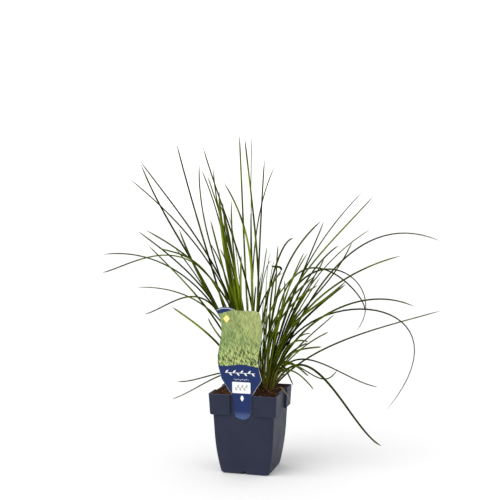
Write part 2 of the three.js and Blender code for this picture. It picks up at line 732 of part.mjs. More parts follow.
function makeLabel() {
  const card = new THREE.ExtrudeGeometry(labelOutline(), {
    depth: LABEL_THICKNESS,
    bevelEnabled: false,
    curveSegments: 8,
  });
  card.rotateX(Math.PI / 2);
  const places = card.attributes.position;
  for (let i = 0; i < places.count; i++) {
    places.setY(i, places.getY(i) + labelBack(places.getZ(i)));
  }
  return solidOf(card).add(clipSolid(0));
}

const soilHoles = [
  crownSolid(UPRIGHT, CLEARANCE),
  crownSolid(LEANING, CLEARANCE),
  clipSolid(CLEARANCE),
  ...Object.values(DRY_LEAVES).map((leaf) => dryStub(leaf, CLEARANCE)),
];
const parts = [
  ['pot', makePot(), potPlastic],
  ['compost', makeCompost(soilHoles), compostBrown],
  ['tuft_upright', makeBunch(UPRIGHT, -1), leafGreen],
  ['tuft_leaning', makeBunch(LEANING, 1), leafGreen],
  ...Object.entries(DRY_LEAVES).map(([name, leaf]) => [name, makeDryLeaf(leaf), strawYellow]),
  ['label', makeLabel(), labelGreen],
];

const plant = new THREE.Group();
for (const [name, solid, finish] of parts) {
  const mesh = new THREE.Mesh(geometryOf(solid), finish);
  mesh.name = name;
  plant.add(mesh);
}

export default plant;
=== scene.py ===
"""A potted tufted hair grass: finish, fine leaves, compost and print around the fixed frame.

Shapes are worked out in millimetres, +Z up, and become metres when a mesh is made.
"""

import math

import bpy
from mathutils import Matrix, Vector


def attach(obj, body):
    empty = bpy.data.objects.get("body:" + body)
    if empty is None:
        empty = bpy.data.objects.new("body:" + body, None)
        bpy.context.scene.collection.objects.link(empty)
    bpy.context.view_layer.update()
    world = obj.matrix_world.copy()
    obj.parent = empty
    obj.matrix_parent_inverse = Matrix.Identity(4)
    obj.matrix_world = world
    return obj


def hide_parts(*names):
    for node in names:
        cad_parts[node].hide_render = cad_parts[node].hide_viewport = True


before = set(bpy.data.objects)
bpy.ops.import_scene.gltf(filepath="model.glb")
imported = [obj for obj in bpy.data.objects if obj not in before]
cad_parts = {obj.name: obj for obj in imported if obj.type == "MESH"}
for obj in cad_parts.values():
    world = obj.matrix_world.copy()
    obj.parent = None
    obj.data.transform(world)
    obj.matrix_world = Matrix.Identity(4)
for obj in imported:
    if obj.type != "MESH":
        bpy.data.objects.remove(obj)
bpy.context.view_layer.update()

MM = 0.001

# Camera
CAMERA_AZIMUTH = 15.62
CAMERA_ELEVATION = 3.0
CAMERA_DISTANCE = 1500
CAMERA_AIM_HEIGHT = 358.2
CAMERA_AIM_ACROSS = -1.75
CAMERA_LENS = 66.56
SENSOR_WIDTH = 36

# Pot
POT_HEIGHT = 131
RIM_HALF = 56
COLLAR_FOOT = 97
COLLAR_FOOT_HALF = 54.2
COLLAR_CORNER = 4.5
BODY_FOOT_HALF = 45
BODY_TOP_HALF = 52.2
BODY_TUCK = 5.4
BODY_TUCK_HEIGHT = 65
BODY_RING_STEP = 5
BODY_FOOT_ROUND = 3.6
BODY_FOOT_ROUND_STEPS = 5
BODY_CORNER = 6
WALL = 1.6
FLOOR = 2
EDGE = 1.4
RECESS_HALF = 20
RECESS_ROUND = 5
DRAIN_HOLE_RADIUS = 4.5
DRAIN_HOLE_OFFSET = 20
DRAIN_HOLE_SIDES = 24
DRAIN_NOTCH_HALF = 3.6
DRAIN_NOTCH_HEIGHT = 5.5
DRAIN_NOTCH_DEPTH = 6
ARC_STEPS = 8
CUT_PAST = 10
POT_BEVEL = 0.45
POT_BEVEL_ANGLE = 40
POT_CREASE = 50
OPEN_PAST = 1

# Compost
SOIL_TOP = 127.6
SOIL_HEAP = 3
SOIL_SLOPE_LENGTH = 40
SOIL_SLOPE_BACK = 0.6
SOIL_LUMP = 0.7
SOIL_LUMP_WAVES = (0.41, 0.37, 0.83, 0.71)
SOIL_LUMP_SHIFTS = (1.3, -0.6)
SOIL_SLANTED_SHARE = 0.7
SOIL_REACH = 50.2
SOIL_CELL = 2.5
CROWN_SHARE = 0.55

# Crumbs of compost: how many to a square metre, their sizes, their rough, flat shape, and the
# most that one is turned, in radians.
CRUMB_DENSITY = 150000.0
CRUMB_SMALLEST = 0.45
CRUMB_LARGEST = 2.3
CRUMB_FLATNESS = 0.7
CRUMB_STRETCH = 1.25
CRUMB_LUMPS = 1.3
CRUMB_ROUGHNESS = 1.8
CRUMB_TURN = 6.283
CRUMB_SEED = 5

# Label
LABEL_THICKNESS = 0.7
LABEL_TOP = 265.3
LABEL_LEFT = -36.5
LABEL_RIGHT = 29.8
LABEL_WAVE = 3.2
LABEL_WAIST = 185
LABEL_WAVE_LENGTH = 100
LABEL_FOOT_WAVE_LENGTH = 72
LABEL_SHOULDER = 156
LABEL_NECK_HALF = 17
LABEL_CORNER = 9
LABEL_BOW = 6
CAP_LEFT = -42
CAP_RIGHT = -11
CAP_FOOT = 266.5
CAP_RISE = 4
CAP_END = (-39.4, 261)
CAP_BLEND = 4
TONGUE_HALF = 15
TONGUE_FOOT_HALF = 13.3
TONGUE_TIP = 91.5
TONGUE_ROUND = 13
TONGUE_BULGE = 1
CLEARANCE = 0.35
CLIP_HALF = 9
CLIP_DEPTH = 18
CLIP_ROOT = 5
CLIP_BITE = 0.4
CLIP_ARCH = 1.2
CLIP_BEVEL = 0.15
CLIP_BEVEL_ANGLE = 30
LABEL_CREASE = 40
NECK_STEP = 1
CAP_TURN = 88
CAP_SEAM = 0.01
CARD_COLUMNS = 16
CARD_ROWS = 64
TONGUE_ROUND_STEPS = 10
TONGUE_STEPS = 5
NECK_STEPS = 8
CAP_STEPS = 8

# The grass printed on the card: slant in degrees, and width and length of the blades.
PRINTED_GRASS = (
    (24, 1.5, 10),
    (-31, 1.4, 9),
    (6, 1.3, 9),
    (-16, 1.6, 11),
    (42, 1.2, 8),
)

# The rest of the print. A middle or a half is given across and up. Every other pair is where a
# change begins and where it ends.
PRINT_FIELD = (184, 262)
PRINT_PALE_SIDE = (-34, 24)
PRINT_STRONG_FOOT = (182, 222)
PRINT_SCUFFS = (96, 106)
NAVY_TOP = (178.2, 178.8)
NAVY_WAVE = 1.6
NAVY_WAVE_RATE = 0.11
CORNER_SLOPE = 0.3
CORNER_FOOT = 270.6
ARC_MIDDLE = -26.5
ARC_TOP = 268.6
ARC_BEND = 0.016
LOZENGE_MIDDLE = (-25, 252)
LOZENGE_NARROWING = 1.15
LOZENGE_EDGE = (6.2, 6.8)
LOZENGE_RING = 3.6
PANEL_MIDDLE = (-1, 143)
PANEL_HALF = (13.5, 7.5)
PANEL_ROUND = (1.6, 2.8)
DROP_LEVEL = 126
DROP_HALF_WIDTH = 2.6
DROP_HALF_HEIGHT = 5
DROP_END = (4.6, 5)
BORDER_FOOT = (131, 133)
BORDER_TOP = (168, 176)
WHITE_SPRIGS = {"middle": -3, "level": 166.5, "spacing": 6.2, "size": 3.4, "end": (24.4, 24.8)}
SMALL_SPRIGS = {"middle": -1, "level": 156, "spacing": 3.4, "size": 1.1, "end": (11.6, 11.9)}
GREY_SPRIGS = {"middle": -1, "level": 143, "spacing": 3.4, "size": 4.2, "end": (10.2, 10.5)}

# Dry leaves: foot, a third, two thirds and tip of each, and its width.
DRY_LEAF_TWIST = 40
DRY_LEAF_STEPS = 18
DRY_LEAF_TINT = 0.5
DRY_LEAVES = {
    "dry_leaf_over_rim": ([(44, 20, 129), (49, 8, 134), (55, -4, 134), (62, -16, 128)], 1.6),
    "dry_leaf_folded": ([(30, 40, 129), (36, 42, 141), (43, 43, 148), (50, 42, 149)], 1.8),
}

# Pale wisps: foot, a third, two thirds and tip of each.
WISP_WIDTH = 0.8
WISP_STEPS = 24
WISP_TINT = 0.1
WISPS = [
    [(40, 12, 129), (52, -8, 137), (64, -26, 134), (72, -25, 119)],
    [(36, 8, 128), (40, -4, 150), (44, -6, 162), (50, -2, 165)],
]

# Grass. The leaves fan out in an upright plane that is turned a little from the pot's front.
FAN_TURN = 15.6
SOIL = 131
LEAF_TURN = 75
LEAF_ROLL = 30
LEAF_TWIST = 40
TAPER_START = 0.5
TIP_WIDTH_SHARE = 0.75
TIP_WIDTH_MOST = 2.4
ROOT_LEVEL = 127
FOOT_SPREAD = 28
FOOT_REACH = 0.6
TOWARD_SHARES = (0.22, 0.6)
FILL_THIRD = (0.25, 0.4)
FILL_TWO_THIRDS = (0.58, 0.76)
FILL_RISE = 0.96
FILL_ARCH_LOSS = 0.4
FILL_DROOP = 0.15
FILL_SHORT_BIAS = 1.3
TIP_FADE = 0.05
TIP_END_SHARE = 0.25
PALE_FOOT = 60
BROWN_FOOT = 24
LEAF_STEPS = 32
LEAF_SIDES = 8
LEAF_FULLNESS = 1.12
LEAF_FOLD = 0.7
LEAF_THICKNESS = 0.16

# How bright a leaf is: the shares of chance, of a tip near the middle, of a tip near the front and
# of a broad leaf. A tip further back gets painted shade, as if in the shadow of the leaves in front.
# The middle reaches this far to each side. Front and broad have a start, and a reach after which
# they are full.
SHADE_SHARES = (0.45, 0.3, 0.25, 0.1)
SHADE_INNER_REACH = 180
SHADE_LIT_FRONT = (-20, 70)
SHADE_BROAD = (2.6, 3)

# What is added to a bunch's own seed for its fine leaves, its tints and its sheaths.
FINE_SEED = 100
TINT_SEED = 200
SHEATH_SEED = 300

# Short sheaths round a crown's foot.
SHEATHS = {
    "sector": (-80, 250),
    "length": (14, 36),
    "reach": (0.15, 0.7),
    "width": (1, 2.2),
}
SHEATH_STEPS = 8

# The surface between the two bunches, which curves over to the right with height.
PARTING_ACROSS = 10
PARTING_TOWARD = -9
PARTING_CURVE = 0.0005
PARTING_TURN = 25
PARTING_CLEAR = 2.4
PARTING_SOFT = 9

# Each leading leaf: across and up at a third of its length, at two thirds and at the tip, how far
# the tip comes toward the viewer, and the width. A sector is in degrees round the crown.
UPRIGHT = {
    "seed": 11,
    "side": -1,
    "across": -3,
    "toward": -6,
    "radius": 12,
    "middle": -24,
    "sheaths": 18,
    "leading": [
        (-31, 268, -95, 386, -181, 502, -20, 2.6),
        (-54, 263, -118, 381, -174, 495, 30, 2.9),
        (-31, 262, -101, 376, -202, 473, -60, 2.5),
        (-46, 268, -84, 399, -119, 528, 10, 2.8),
        (-34, 259, -70, 376, -86, 498, -40, 2.6),
        (2, 262, -34, 394, -76, 522, 25, 2.9),
        (-12, 258, -42, 388, -69, 476, 20, 2.3),
        (-21, 258, -46, 383, -80, 487, -5, 2.3),
        (-15, 258, -44, 381, -62, 489, -30, 2.5),
        (-17, 236, -39, 345, -51, 453, 20, 9),
        (-11, 228, -27, 330, -44, 413, 28, 4),
        (-13, 241, -26, 339, -31, 438, 45, 2.6),
        (-16, 236, -36, 339, -47, 441, -45, 2.6),
        (-23, 236, -41, 317, -63, 407, 60, 3.4),
        (2, 248, -3, 358, -43, 466, 5, 3.2),
        (-7, 273, -13, 407, -19, 543, -15, 3.2),
        (13, 272, 5, 403, -10, 537, 8, 3.2),
        (3, 267, 0, 401, 1, 543, -25, 2.6),
        (10, 261, 15, 382, 22, 504, -30, 2.6),
        (1, 252, 8, 381, 39, 494, -60, 3.6),
        (2, 233, 0, 329, 0, 423, -40, 2.9),
        (-19, 220, -36, 301, -65, 371, 35, 2.6),
        (-13, 220, -24, 293, -50, 361, 15, 2.5),
        (-13, 205, -17, 277, -16, 350, 10, 5),
        (-14, 195, -22, 262, -33, 330, 15, 4),
        (-40, 228, -78, 300, -119, 390, -35, 4.6),
        (-23, 244, -78, 328, -165, 391, 40, 2.8),
        (-44, 241, -103, 320, -186, 387, -30, 2.9),
        (-44, 223, -98, 301, -158, 368, 70, 2.8),
        (-46, 244, -126, 328, -237, 352, 15, 2.8),
        (-75, 320, -168, 345, -248, 318, -45, 2.5),
        (-35, 223, -94, 283, -177, 303, 60, 2.6),
        (-62, 264, -122, 273, -181, 245, -70, 2.5),
        (-38, 187, -78, 231, -125, 268, 30, 3.2),
        (-21, 177, -47, 216, -68, 253, 45, 2.8),
        (-28, 157, -74, 149, -121, 140, -15, 2.3),
        (-30, 158, -78, 141, -127, 119, 25, 3.6),
        (-52, 290, -103, 349, -144, 364, 55, 2.6),
        (-34, 212, -78, 293, -126, 356, -55, 2.6),
        (9, 231, 17, 302, 26, 362, -20, 2),
        (8, 215, 14, 270, 23, 324, 10, 2.2),
        (6, 229, 27, 285, 53, 320, -72, 3.2),
    ],
    "broken_tip": ([(53, -72, 320), (49, -72, 325), (42, -72, 326), (35, -72, 327)], 3.4),
    "fill": {
        "count": 15,
        "sector": (50, 160),
        "length": (90, 330),
        "reach": (0.05, 0.6),
        "width": (2, 3.2),
    },
    "fine": {
        "count": 16,
        "sector": (40, 155),
        "length": (40, 180),
        "reach": (0.05, 0.6),
        "width": (1, 1.8),
    },
}
LEANING = {
    "seed": 29,
    "side": 1,
    "across": 27,
    "toward": -12,
    "radius": 12,
    "middle": 46,
    "sheaths": 22,
    "leading": [
        (57, 252, 108, 359, 182, 452, -20, 2.6),
        (49, 255, 115, 357, 193, 445, 35, 3.2),
        (60, 235, 112, 325, 184, 392, 55, 2.8),
        (87, 256, 176, 363, 303, 374, 10, 2.8),
        (69, 234, 143, 310, 231, 352, 65, 3),
        (53, 199, 102, 255, 157, 299, -35, 3.6),
        (79, 219, 163, 275, 256, 272, 50, 3),
        (122, 249, 251, 236, 227, 92, -25, 2.6),
        (109, 190, 203, 231, 301, 262, 30, 3.6),
        (86, 309, 172, 307, 179, 218, -60, 2.8),
        (75, 317, 153, 307, 186, 258, -20, 2.5),
        (79, 180, 138, 167, 198, 147, 65, 2.6),
        (96, 166, 155, 104, 208, 46, 35, 3.4),
        (53, 161, 78, 158, 99, 139, 45, 2.4),
        (43, 169, 55, 169, 66, 149, 60, 4),
        (47, 170, 67, 176, 91, 161, 50, 3.6),
        (66, 168, 106, 147, 143, 156, -30, 2.3),
        (58, 174, 90, 210, 120, 234, 70, 2.9),
        (54, 177, 80, 197, 113, 204, 25, 3.2),
        (50, 169, 72, 190, 94, 200, -40, 2.8),
        (52, 186, 70, 212, 90, 216, 50, 3),
        (32, 231, 54, 325, 109, 405, 40, 3.2),
        (49, 223, 84, 317, 120, 403, -30, 3.2),
        (55, 231, 93, 313, 140, 366, 15, 3),
        (57, 220, 115, 288, 172, 371, -65, 2.5),
        (37, 207, 53, 280, 87, 355, 60, 2.9),
        (40, 217, 60, 294, 85, 355, 20, 2.9),
        (22, 204, 24, 277, 50, 325, 50, 3.6),
        (21, 215, 39, 277, 73, 322, 30, 2.8),
        (28, 205, 40, 288, 37, 365, -20, 2.4),
        (24, 208, 24, 280, 30, 355, 25, 2.5),
        (24, 207, 27, 277, 36, 343, 45, 2.6),
        (29, 197, 31, 261, 40, 321, 5, 3.2),
        (36, 203, 49, 266, 53, 312, 40, 2.6),
        (24, 187, 26, 241, 39, 279, 55, 2.9),
        (23, 205, 48, 264, 97, 318, 50, 4),
        (27, 200, 56, 262, 104, 306, 60, 2.9),
        (51, 214, 90, 261, 147, 312, 62, 3.6),
        (43, 184, 68, 245, 110, 318, 40, 3.6),
        (17, 190, 20, 235, 38, 275, 58, 3),
        (15, 175, 15, 215, 22, 262, 30, 3),
        (12, 168, 13, 203, 18, 240, 25, 3),
        (14, 162, 14, 190, 20, 222, 45, 3.2),
        (12, 180, 14, 225, 12, 280, -5, 2.8),
        (62, 180, 98, 221, 133, 255, 20, 2.4),
        (58, 226, 84, 277, 105, 321, 0, 2.4),
        (62, 238, 95, 300, 120, 343, -20, 2.4),
    ],
    "broken_tip": None,
    "fill": {
        "count": 12,
        "sector": (-50, 96),
        "length": (60, 190),
        "reach": (0.08, 0.55),
        "width": (2, 3.4),
    },
    "fine": {
        "count": 10,
        "sector": (-50, 96),
        "length": (40, 120),
        "reach": (0.1, 0.5),
        "width": (1, 1.8),
    },
}

# Colours, as the surface's own linear values.
NAVY_PLASTIC = (0.0215, 0.025, 0.0455, 1)
# Paler navy for scuffs, a painted sheen near the foot and a painted highlight along the rim.
NAVY_PLASTIC_WORN_AND_LIT = (0.055, 0.065, 0.115, 1)
LEAF_DARK = (0.004, 0.008, 0.001, 1)
LEAF_MIDDLE = (0.035, 0.060, 0.002, 1)
LEAF_BRIGHT = (0.21, 0.30, 0.010, 1)
LEAF_MARGIN = (0.21, 0.26, 0.012, 1)
LEAF_TIP = (0.11, 0.10, 0.035, 1)
LEAF_FOOT = (0.19, 0.18, 0.025, 1)
SHEATH_OLIVE = (0.12, 0.14, 0.02, 1)
SHEATH_BROWN = (0.12, 0.065, 0.02, 1)
STRAW_PALE = (0.46, 0.38, 0.21, 1)
STRAW_BROWN = (0.20, 0.125, 0.04, 1)
# Dark compost specks, and painted shade in the compost's hollows.
SOIL_DARK = (0.008, 0.003, 0.001, 1)
SOIL_BROWN = (0.042, 0.014, 0.004, 1)
SOIL_ORANGE = (0.30, 0.115, 0.030, 1)
PRINT_NAVY = (0.010, 0.025, 0.105, 1)
PRINT_BLUE = (0.09, 0.14, 0.28, 1)
PRINT_WHITE = (0.80, 0.81, 0.82, 1)
PRINT_GREY = (0.30, 0.29, 0.25, 1)
PRINT_YELLOW = (0.82, 0.66, 0.07, 1)
PRINT_OLIVE = (0.35, 0.39, 0.15, 1)
PRINT_GREEN = (0.10, 0.21, 0.062, 1)
PRINT_DEEP = (0.020, 0.045, 0.008, 1)
PRINT_LIGHT = (0.53, 0.59, 0.22, 1)
CARD_WHITE = (0.70, 0.71, 0.68, 1)
FLOOR_WHITE = (0.93, 0.93, 0.93, 1)
SKY_WHITE = (1, 1, 1, 1)
SKY_OVERHEAD = (0.5, 0.5, 0.5, 1)

# Studio. Each light: azimuth, elevation, energy and softness.
LIGHTS = {
    "key_light": (-35, 50, 1.3, 50),
    "fill_light": (60, 30, 0.1, 60),
}
SKY_STRENGTH = 1.28
SKY_FADE = (0.25, 0.8)
FLOOR_REACH = 30000


# Node trees


class Value:
    """A number in a node tree that can be used in plain sums."""

    def __init__(self, tree, socket):
        self.tree = tree
        self.socket = socket

    def sum(self, operation, *others):
        made = self.tree.nodes.new("ShaderNodeMath")
        made.operation = operation
        for place, value in zip(made.inputs, (self, *others)):
            feed(self.tree, place, value)
        return Value(self.tree, made.outputs[0])

    def __add__(self, other):
        return self.sum("ADD", other)

    def __sub__(self, other):
        return self.sum("SUBTRACT", other)

    def __mul__(self, other):
        return self.sum("MULTIPLY", other)

    def __truediv__(self, other):
        return self.sum("DIVIDE", other)

    def absolute(self):
        return self.sum("ABSOLUTE")

    def floor(self):
        return self.sum("FLOOR")

    def cosine(self):
        return self.sum("COSINE")

    def power(self, exponent):
        return self.sum("POWER", exponent)

    def smaller_of(self, other):
        return self.sum("MINIMUM", other)

    def larger_of(self, other):
        return self.sum("MAXIMUM", other)

    def inverse(self):
        return self * -1 + 1

    def rise(self, start, end):
        """0 before start, 1 after end, and smooth between them."""
        made = self.tree.nodes.new("ShaderNodeMapRange")
        made.interpolation_type = "SMOOTHSTEP"
        for name, value in (("Value", self), ("From Min", start), ("From Max", end)):
            feed(self.tree, made.inputs[name], value)
        return Value(self.tree, made.outputs["Result"])

    def within(self, start, end):
        """1 nearer to 0 than start, 0 further than end, and smooth between them."""
        return self.absolute().rise(start, end).inverse()


def feed(tree, place, value):
    if isinstance(value, Value):
        value = value.socket
    if isinstance(value, bpy.types.NodeSocket):
        tree.links.new(value, place)
    else:
        place.default_value = value


def node(tree, kind, inputs=None, **settings):
    """A new node with its settings, and its inputs by name or number."""
    made = tree.nodes.new(kind)
    for name, value in settings.items():
        setattr(made, name, value)
    for key, value in (inputs or {}).items():
        feed(tree, made.inputs[key], value)
    return made


def mixed(tree, factor, first, second):
    """The colour between two colours."""
    made = tree.nodes.new("ShaderNodeMix")
    made.data_type = "RGBA"
    feed(tree, made.inputs[0], factor)
    feed(tree, made.inputs[6], first)
    feed(tree, made.inputs[7], second)
    return made.outputs[2]


def noise(tree, scale, detail, roughness, vector):
    inputs = {"Scale": scale, "Detail": detail, "Roughness": roughness, "Vector": vector}
    return Value(tree, node(tree, "ShaderNodeTexNoise", inputs).outputs["Fac"])


def attribute(tree, name):
    return Value(tree, node(tree, "ShaderNodeAttribute", attribute_name=name).outputs["Fac"])


def object_place(tree):
    return node(tree, "ShaderNodeTexCoord").outputs["Object"]


def place_parts(tree):
    """Object coordinates across, along and up, in millimetres."""
    parts = node(tree, "ShaderNodeSeparateXYZ", {0: object_place(tree)})
    return [Value(tree, socket) * (1 / MM) for socket in parts.outputs]


def new_material(name, roughness, specular=0.5):
    """A material, its tree, and its shader with the uniform values set on it."""
    made = bpy.data.materials.new(name)
    made.use_nodes = True
    tree = made.node_tree
    shader = tree.nodes["Principled BSDF"]
    shader.inputs["Roughness"].default_value = roughness
    shader.inputs["Specular IOR Level"].default_value = specular
    return made, tree, shader


def bump(tree, shader, height, strength, distance):
    inputs = {"Height": height, "Strength": strength, "Distance": distance * MM}
    made = node(tree, "ShaderNodeBump", inputs)
    tree.links.new(made.outputs["Normal"], shader.inputs["Normal"])


def new_group(name, kind, inputs, outputs):
    """A node group with named sockets, and its input and output nodes."""
    tree = bpy.data.node_groups.new(name, kind)
    for title, socket, default in inputs:
        made = tree.interface.new_socket(title, in_out="INPUT", socket_type=socket)
        if default is not None:
            made.default_value = default
    for title, socket in outputs:
        tree.interface.new_socket(title, in_out="OUTPUT", socket_type=socket)
    return tree, tree.nodes.new("NodeGroupInput"), tree.nodes.new("NodeGroupOutput")


def use_group(tree, group, inputs=None):
    return node(tree, "ShaderNodeGroup", inputs, node_tree=group)


# Shader groups

FLOAT = "NodeSocketFloat"
COLOUR = "NodeSocketColor"


def fine_grain_group():
    """A fine, uneven grain and broad blotches, for plastic and card."""
    tree, given, result = new_group(
        "Fine grain",
        "ShaderNodeTree",
        [("Grain Scale", FLOAT, 900.0), ("Blotch Scale", FLOAT, 30.0)],
        [("Grain", FLOAT), ("Blotches", FLOAT)],
    )
    place = object_place(tree)
    grain = noise(tree, given.outputs["Grain Scale"], 2.0, 0.6, place)
    blotches = noise(tree, given.outputs["Blotch Scale"], 4.0, 0.6, place)
    feed(tree, result.inputs["Grain"], grain)
    feed(tree, result.inputs["Blotches"], blotches.rise(0.3, 0.7))
    return tree


def long_fibre_group():
    """Fine ribs and streaks that run the length of a leaf."""
    tree, given, result = new_group(
        "Long fibres",
        "ShaderNodeTree",
        [("Ribs", FLOAT, 5.0), ("Streak Length", FLOAT, 5.0)],
        [("Rib", FLOAT), ("Streak", FLOAT), ("Patch", FLOAT)],
    )
    across = attribute(tree, "across")
    along = attribute(tree, "along")
    tint = attribute(tree, "tint")
    rib = (across * Value(tree, given.outputs["Ribs"]) * math.pi).cosine() * 0.5 + 0.5
    drift = node(
        tree,
        "ShaderNodeCombineXYZ",
        {0: across * 1.6, 1: along * Value(tree, given.outputs["Streak Length"]), 2: tint * 40},
    )
    streak = noise(tree, 1.6, 3.0, 0.6, drift.outputs[0])
    length = node(tree, "ShaderNodeCombineXYZ", {1: along * 3.2, 2: tint * 90})
    patch = noise(tree, 1.0, 2.0, 0.5, length.outputs[0])
    feed(tree, result.inputs["Rib"], rib)
    feed(tree, result.inputs["Streak"], streak.rise(0.34, 0.66))
    feed(tree, result.inputs["Patch"], patch.rise(0.36, 0.64))
    return tree


FINE_GRAIN = fine_grain_group()
LONG_FIBRES = long_fibre_group()


# Materials


def plastic_material():
    """Matt dark plastic: fine grain, faint blotches, paler scuffs with a painted sheen near the foot,
    and a painted highlight along the rim's top.
    """
    made, tree, shader = new_material("navy_plastic", 0.5, specular=0.1)
    grain = use_group(tree, FINE_GRAIN, {"Grain Scale": 1400.0, "Blotch Scale": 22.0})
    fine = Value(tree, grain.outputs["Grain"])
    blotches = Value(tree, grain.outputs["Blotches"])
    _, _, up = place_parts(tree)
    # Paler speckles toward the foot: scuffs, and a painted sheen.
    foot = up.rise(2, 15).inverse() * fine.rise(0.42, 0.62)
    # A painted highlight along the rim's top, where the light falls.
    rim_highlight = up.rise(POT_HEIGHT - 0.9, POT_HEIGHT - 0.2)
    wear_and_highlight = (foot * 0.35 + rim_highlight * 0.6 + blotches * 0.1).smaller_of(1)
    feed(tree, shader.inputs["Base Color"], mixed(tree, wear_and_highlight, NAVY_PLASTIC, NAVY_PLASTIC_WORN_AND_LIT))
    feed(tree, shader.inputs["Roughness"], blotches * 0.12 + fine * 0.08 + 0.4)
    bump(tree, shader, fine, 0.25, 0.05)
    return made


def leaf_material():
    """Ribbed grass leaf: dark and bright lengths, painted shade on one half of each blade and on leaves
    further back, a dull tip, and a yellow-green and brown foot.
    """
    made, tree, shader = new_material("grass_leaf", 0.5, specular=0.04)
    fibres = use_group(tree, LONG_FIBRES, {"Ribs": 5.0, "Streak Length": 7.0})
    streak = Value(tree, fibres.outputs["Streak"])
    patch = Value(tree, fibres.outputs["Patch"])
    rib = Value(tree, fibres.outputs["Rib"])
    tint = attribute(tree, "tint")
    along = attribute(tree, "along")
    keel = attribute(tree, "keel")
    shaded_half = attribute(tree, "across").rise(-0.2, 0.2) * 0.22
    # The tint carries each leaf's own tone and the painted shade of leaves further back; shaded_half is
    # painted shade on one half of the folded blade.
    bright = patch * 0.5 + tint * 1.1 + streak * 0.3 - shaded_half - 0.45
    green = mixed(tree, bright.rise(0.0, 0.45), LEAF_DARK, LEAF_MIDDLE)
    green = mixed(tree, bright.rise(0.4, 0.95), green, LEAF_BRIGHT)
    green = mixed(tree, keel.rise(0.0, 0.7) * 0.5, green, LEAF_DARK)
    margin = attribute(tree, "across").absolute().rise(0.55, 0.95)
    green = mixed(tree, margin * (tint * 0.4 + 0.2), green, LEAF_MARGIN)
    green = mixed(tree, along.rise(0.8, 1.0) * 0.6, green, LEAF_TIP)
    _, _, up = place_parts(tree)
    near = along.rise(0.25, 0.45).inverse()
    pale_foot = near * up.rise(SOIL, SOIL + PALE_FOOT).inverse()
    brown_foot = near * up.rise(SOIL, SOIL + BROWN_FOOT).inverse()
    green = mixed(tree, pale_foot * (tint * 0.7 + 0.15), green, LEAF_FOOT)
    green = mixed(tree, brown_foot * streak * 0.8, green, SHEATH_BROWN)
    feed(tree, shader.inputs["Base Color"], green)
    feed(tree, shader.inputs["Roughness"], streak * 0.14 + 0.36)
    bump(tree, shader, rib, 0.4, 0.08)
    return made


def straw_material(name, pale, dark):
    """Dry leaf: a pale colour with darker streaks along it."""
    made, tree, shader = new_material(name, 0.75, specular=0.2)
    fibres = use_group(tree, LONG_FIBRES, {"Ribs": 4.0, "Streak Length": 5.0})
    streak = Value(tree, fibres.outputs["Streak"])
    rib = Value(tree, fibres.outputs["Rib"])
    tint = attribute(tree, "tint")
    feed(tree, shader.inputs["Base Color"], mixed(tree, streak * 0.5 + tint * 0.5, pale, dark))
    feed(tree, shader.inputs["Roughness"], streak * 0.2 + 0.6)
    bump(tree, shader, rib + streak, 0.5, 0.1)
    return made


def compost_material(name, by_piece):
    """Damp brown compost with orange-brown bits, and painted shade in the hollows of its bump."""
    made, tree, shader = new_material(name, 0.85, specular=0.25)
    place = object_place(tree)
    coarse = noise(tree, 160.0, 5.0, 0.65, place)
    fine = noise(tree, 700.0, 4.0, 0.7, place)
    if by_piece:
        speckle = attribute(tree, "tint")
    else:
        speckle = noise(tree, 330.0, 2.0, 0.5, place).rise(0.3, 0.75)
    # Painted shade in the hollows: dark where the coarse noise, which also raises the bump, is low.
    brown = mixed(tree, coarse.rise(0.35, 0.65), SOIL_DARK, SOIL_BROWN)
    brown = mixed(tree, speckle.power(6) * 0.9, brown, SOIL_ORANGE)
    feed(tree, shader.inputs["Base Color"], mixed(tree, fine.rise(0.55, 0.75) * 0.5, brown, SOIL_DARK))
    bump(tree, shader, fine + coarse * 2, 0.8, 0.6)
    return made


def chance_at(tree, cell):
    """A chance between 0 and 1 that is the same all over a cell."""
    vector = node(tree, "ShaderNodeCombineXYZ", cell).outputs[0]
    return Value(tree, node(tree, "ShaderNodeTexWhiteNoise", {"Vector": vector}).outputs["Value"])


def printed_grass(tree, across, up, slant, width, length, seed):
    """Pointed blades of grass side by side along a slant: where they are, and a chance for each."""
    turn = math.radians(slant)
    beside = (across * math.cos(turn) + up * math.sin(turn)) / width
    along = (up * math.cos(turn) - across * math.sin(turn)) / length
    column = beside.floor()
    along = along + chance_at(tree, {0: column, 1: seed})
    row = along.floor()
    chance = chance_at(tree, {0: column, 1: row, 2: seed})
    inside = (beside - column - 0.5).absolute()
    blade = ((along - row - 0.5) * math.pi).cosine() * 0.5
    return (blade - inside).rise(-0.08, 0.08), chance


def printed_sprig(across, up, spacing, size):
    """Small leaves on a straight stem, which stand above and below it in turn."""
    column = across / spacing
    index = column.floor()
    way = (index * 0.5 - (index * 0.5).floor()) * -4 + 1
    beside = (column - index - 0.5) * spacing
    above = up * way - size * 0.62
    axis = (beside + above) * math.sqrt(0.5)
    thick = (beside - above) * math.sqrt(0.5)
    leaf = (axis / size * (math.pi / 2)).cosine() * size * 0.36 - thick.absolute()
    inside = axis.within(size * 0.98, size)
    stem = up.within(size * 0.06, size * 0.14)
    return (leaf.rise(-0.12, 0.12) * inside).larger_of(stem)


def sprig_row(across, up, row):
    """A row of sprigs that ends alike on both sides of its middle."""
    beside = across - row["middle"]
    sprigs = printed_sprig(beside, up - row["level"], row["spacing"], row["size"])
    return sprigs * beside.within(*row["end"])


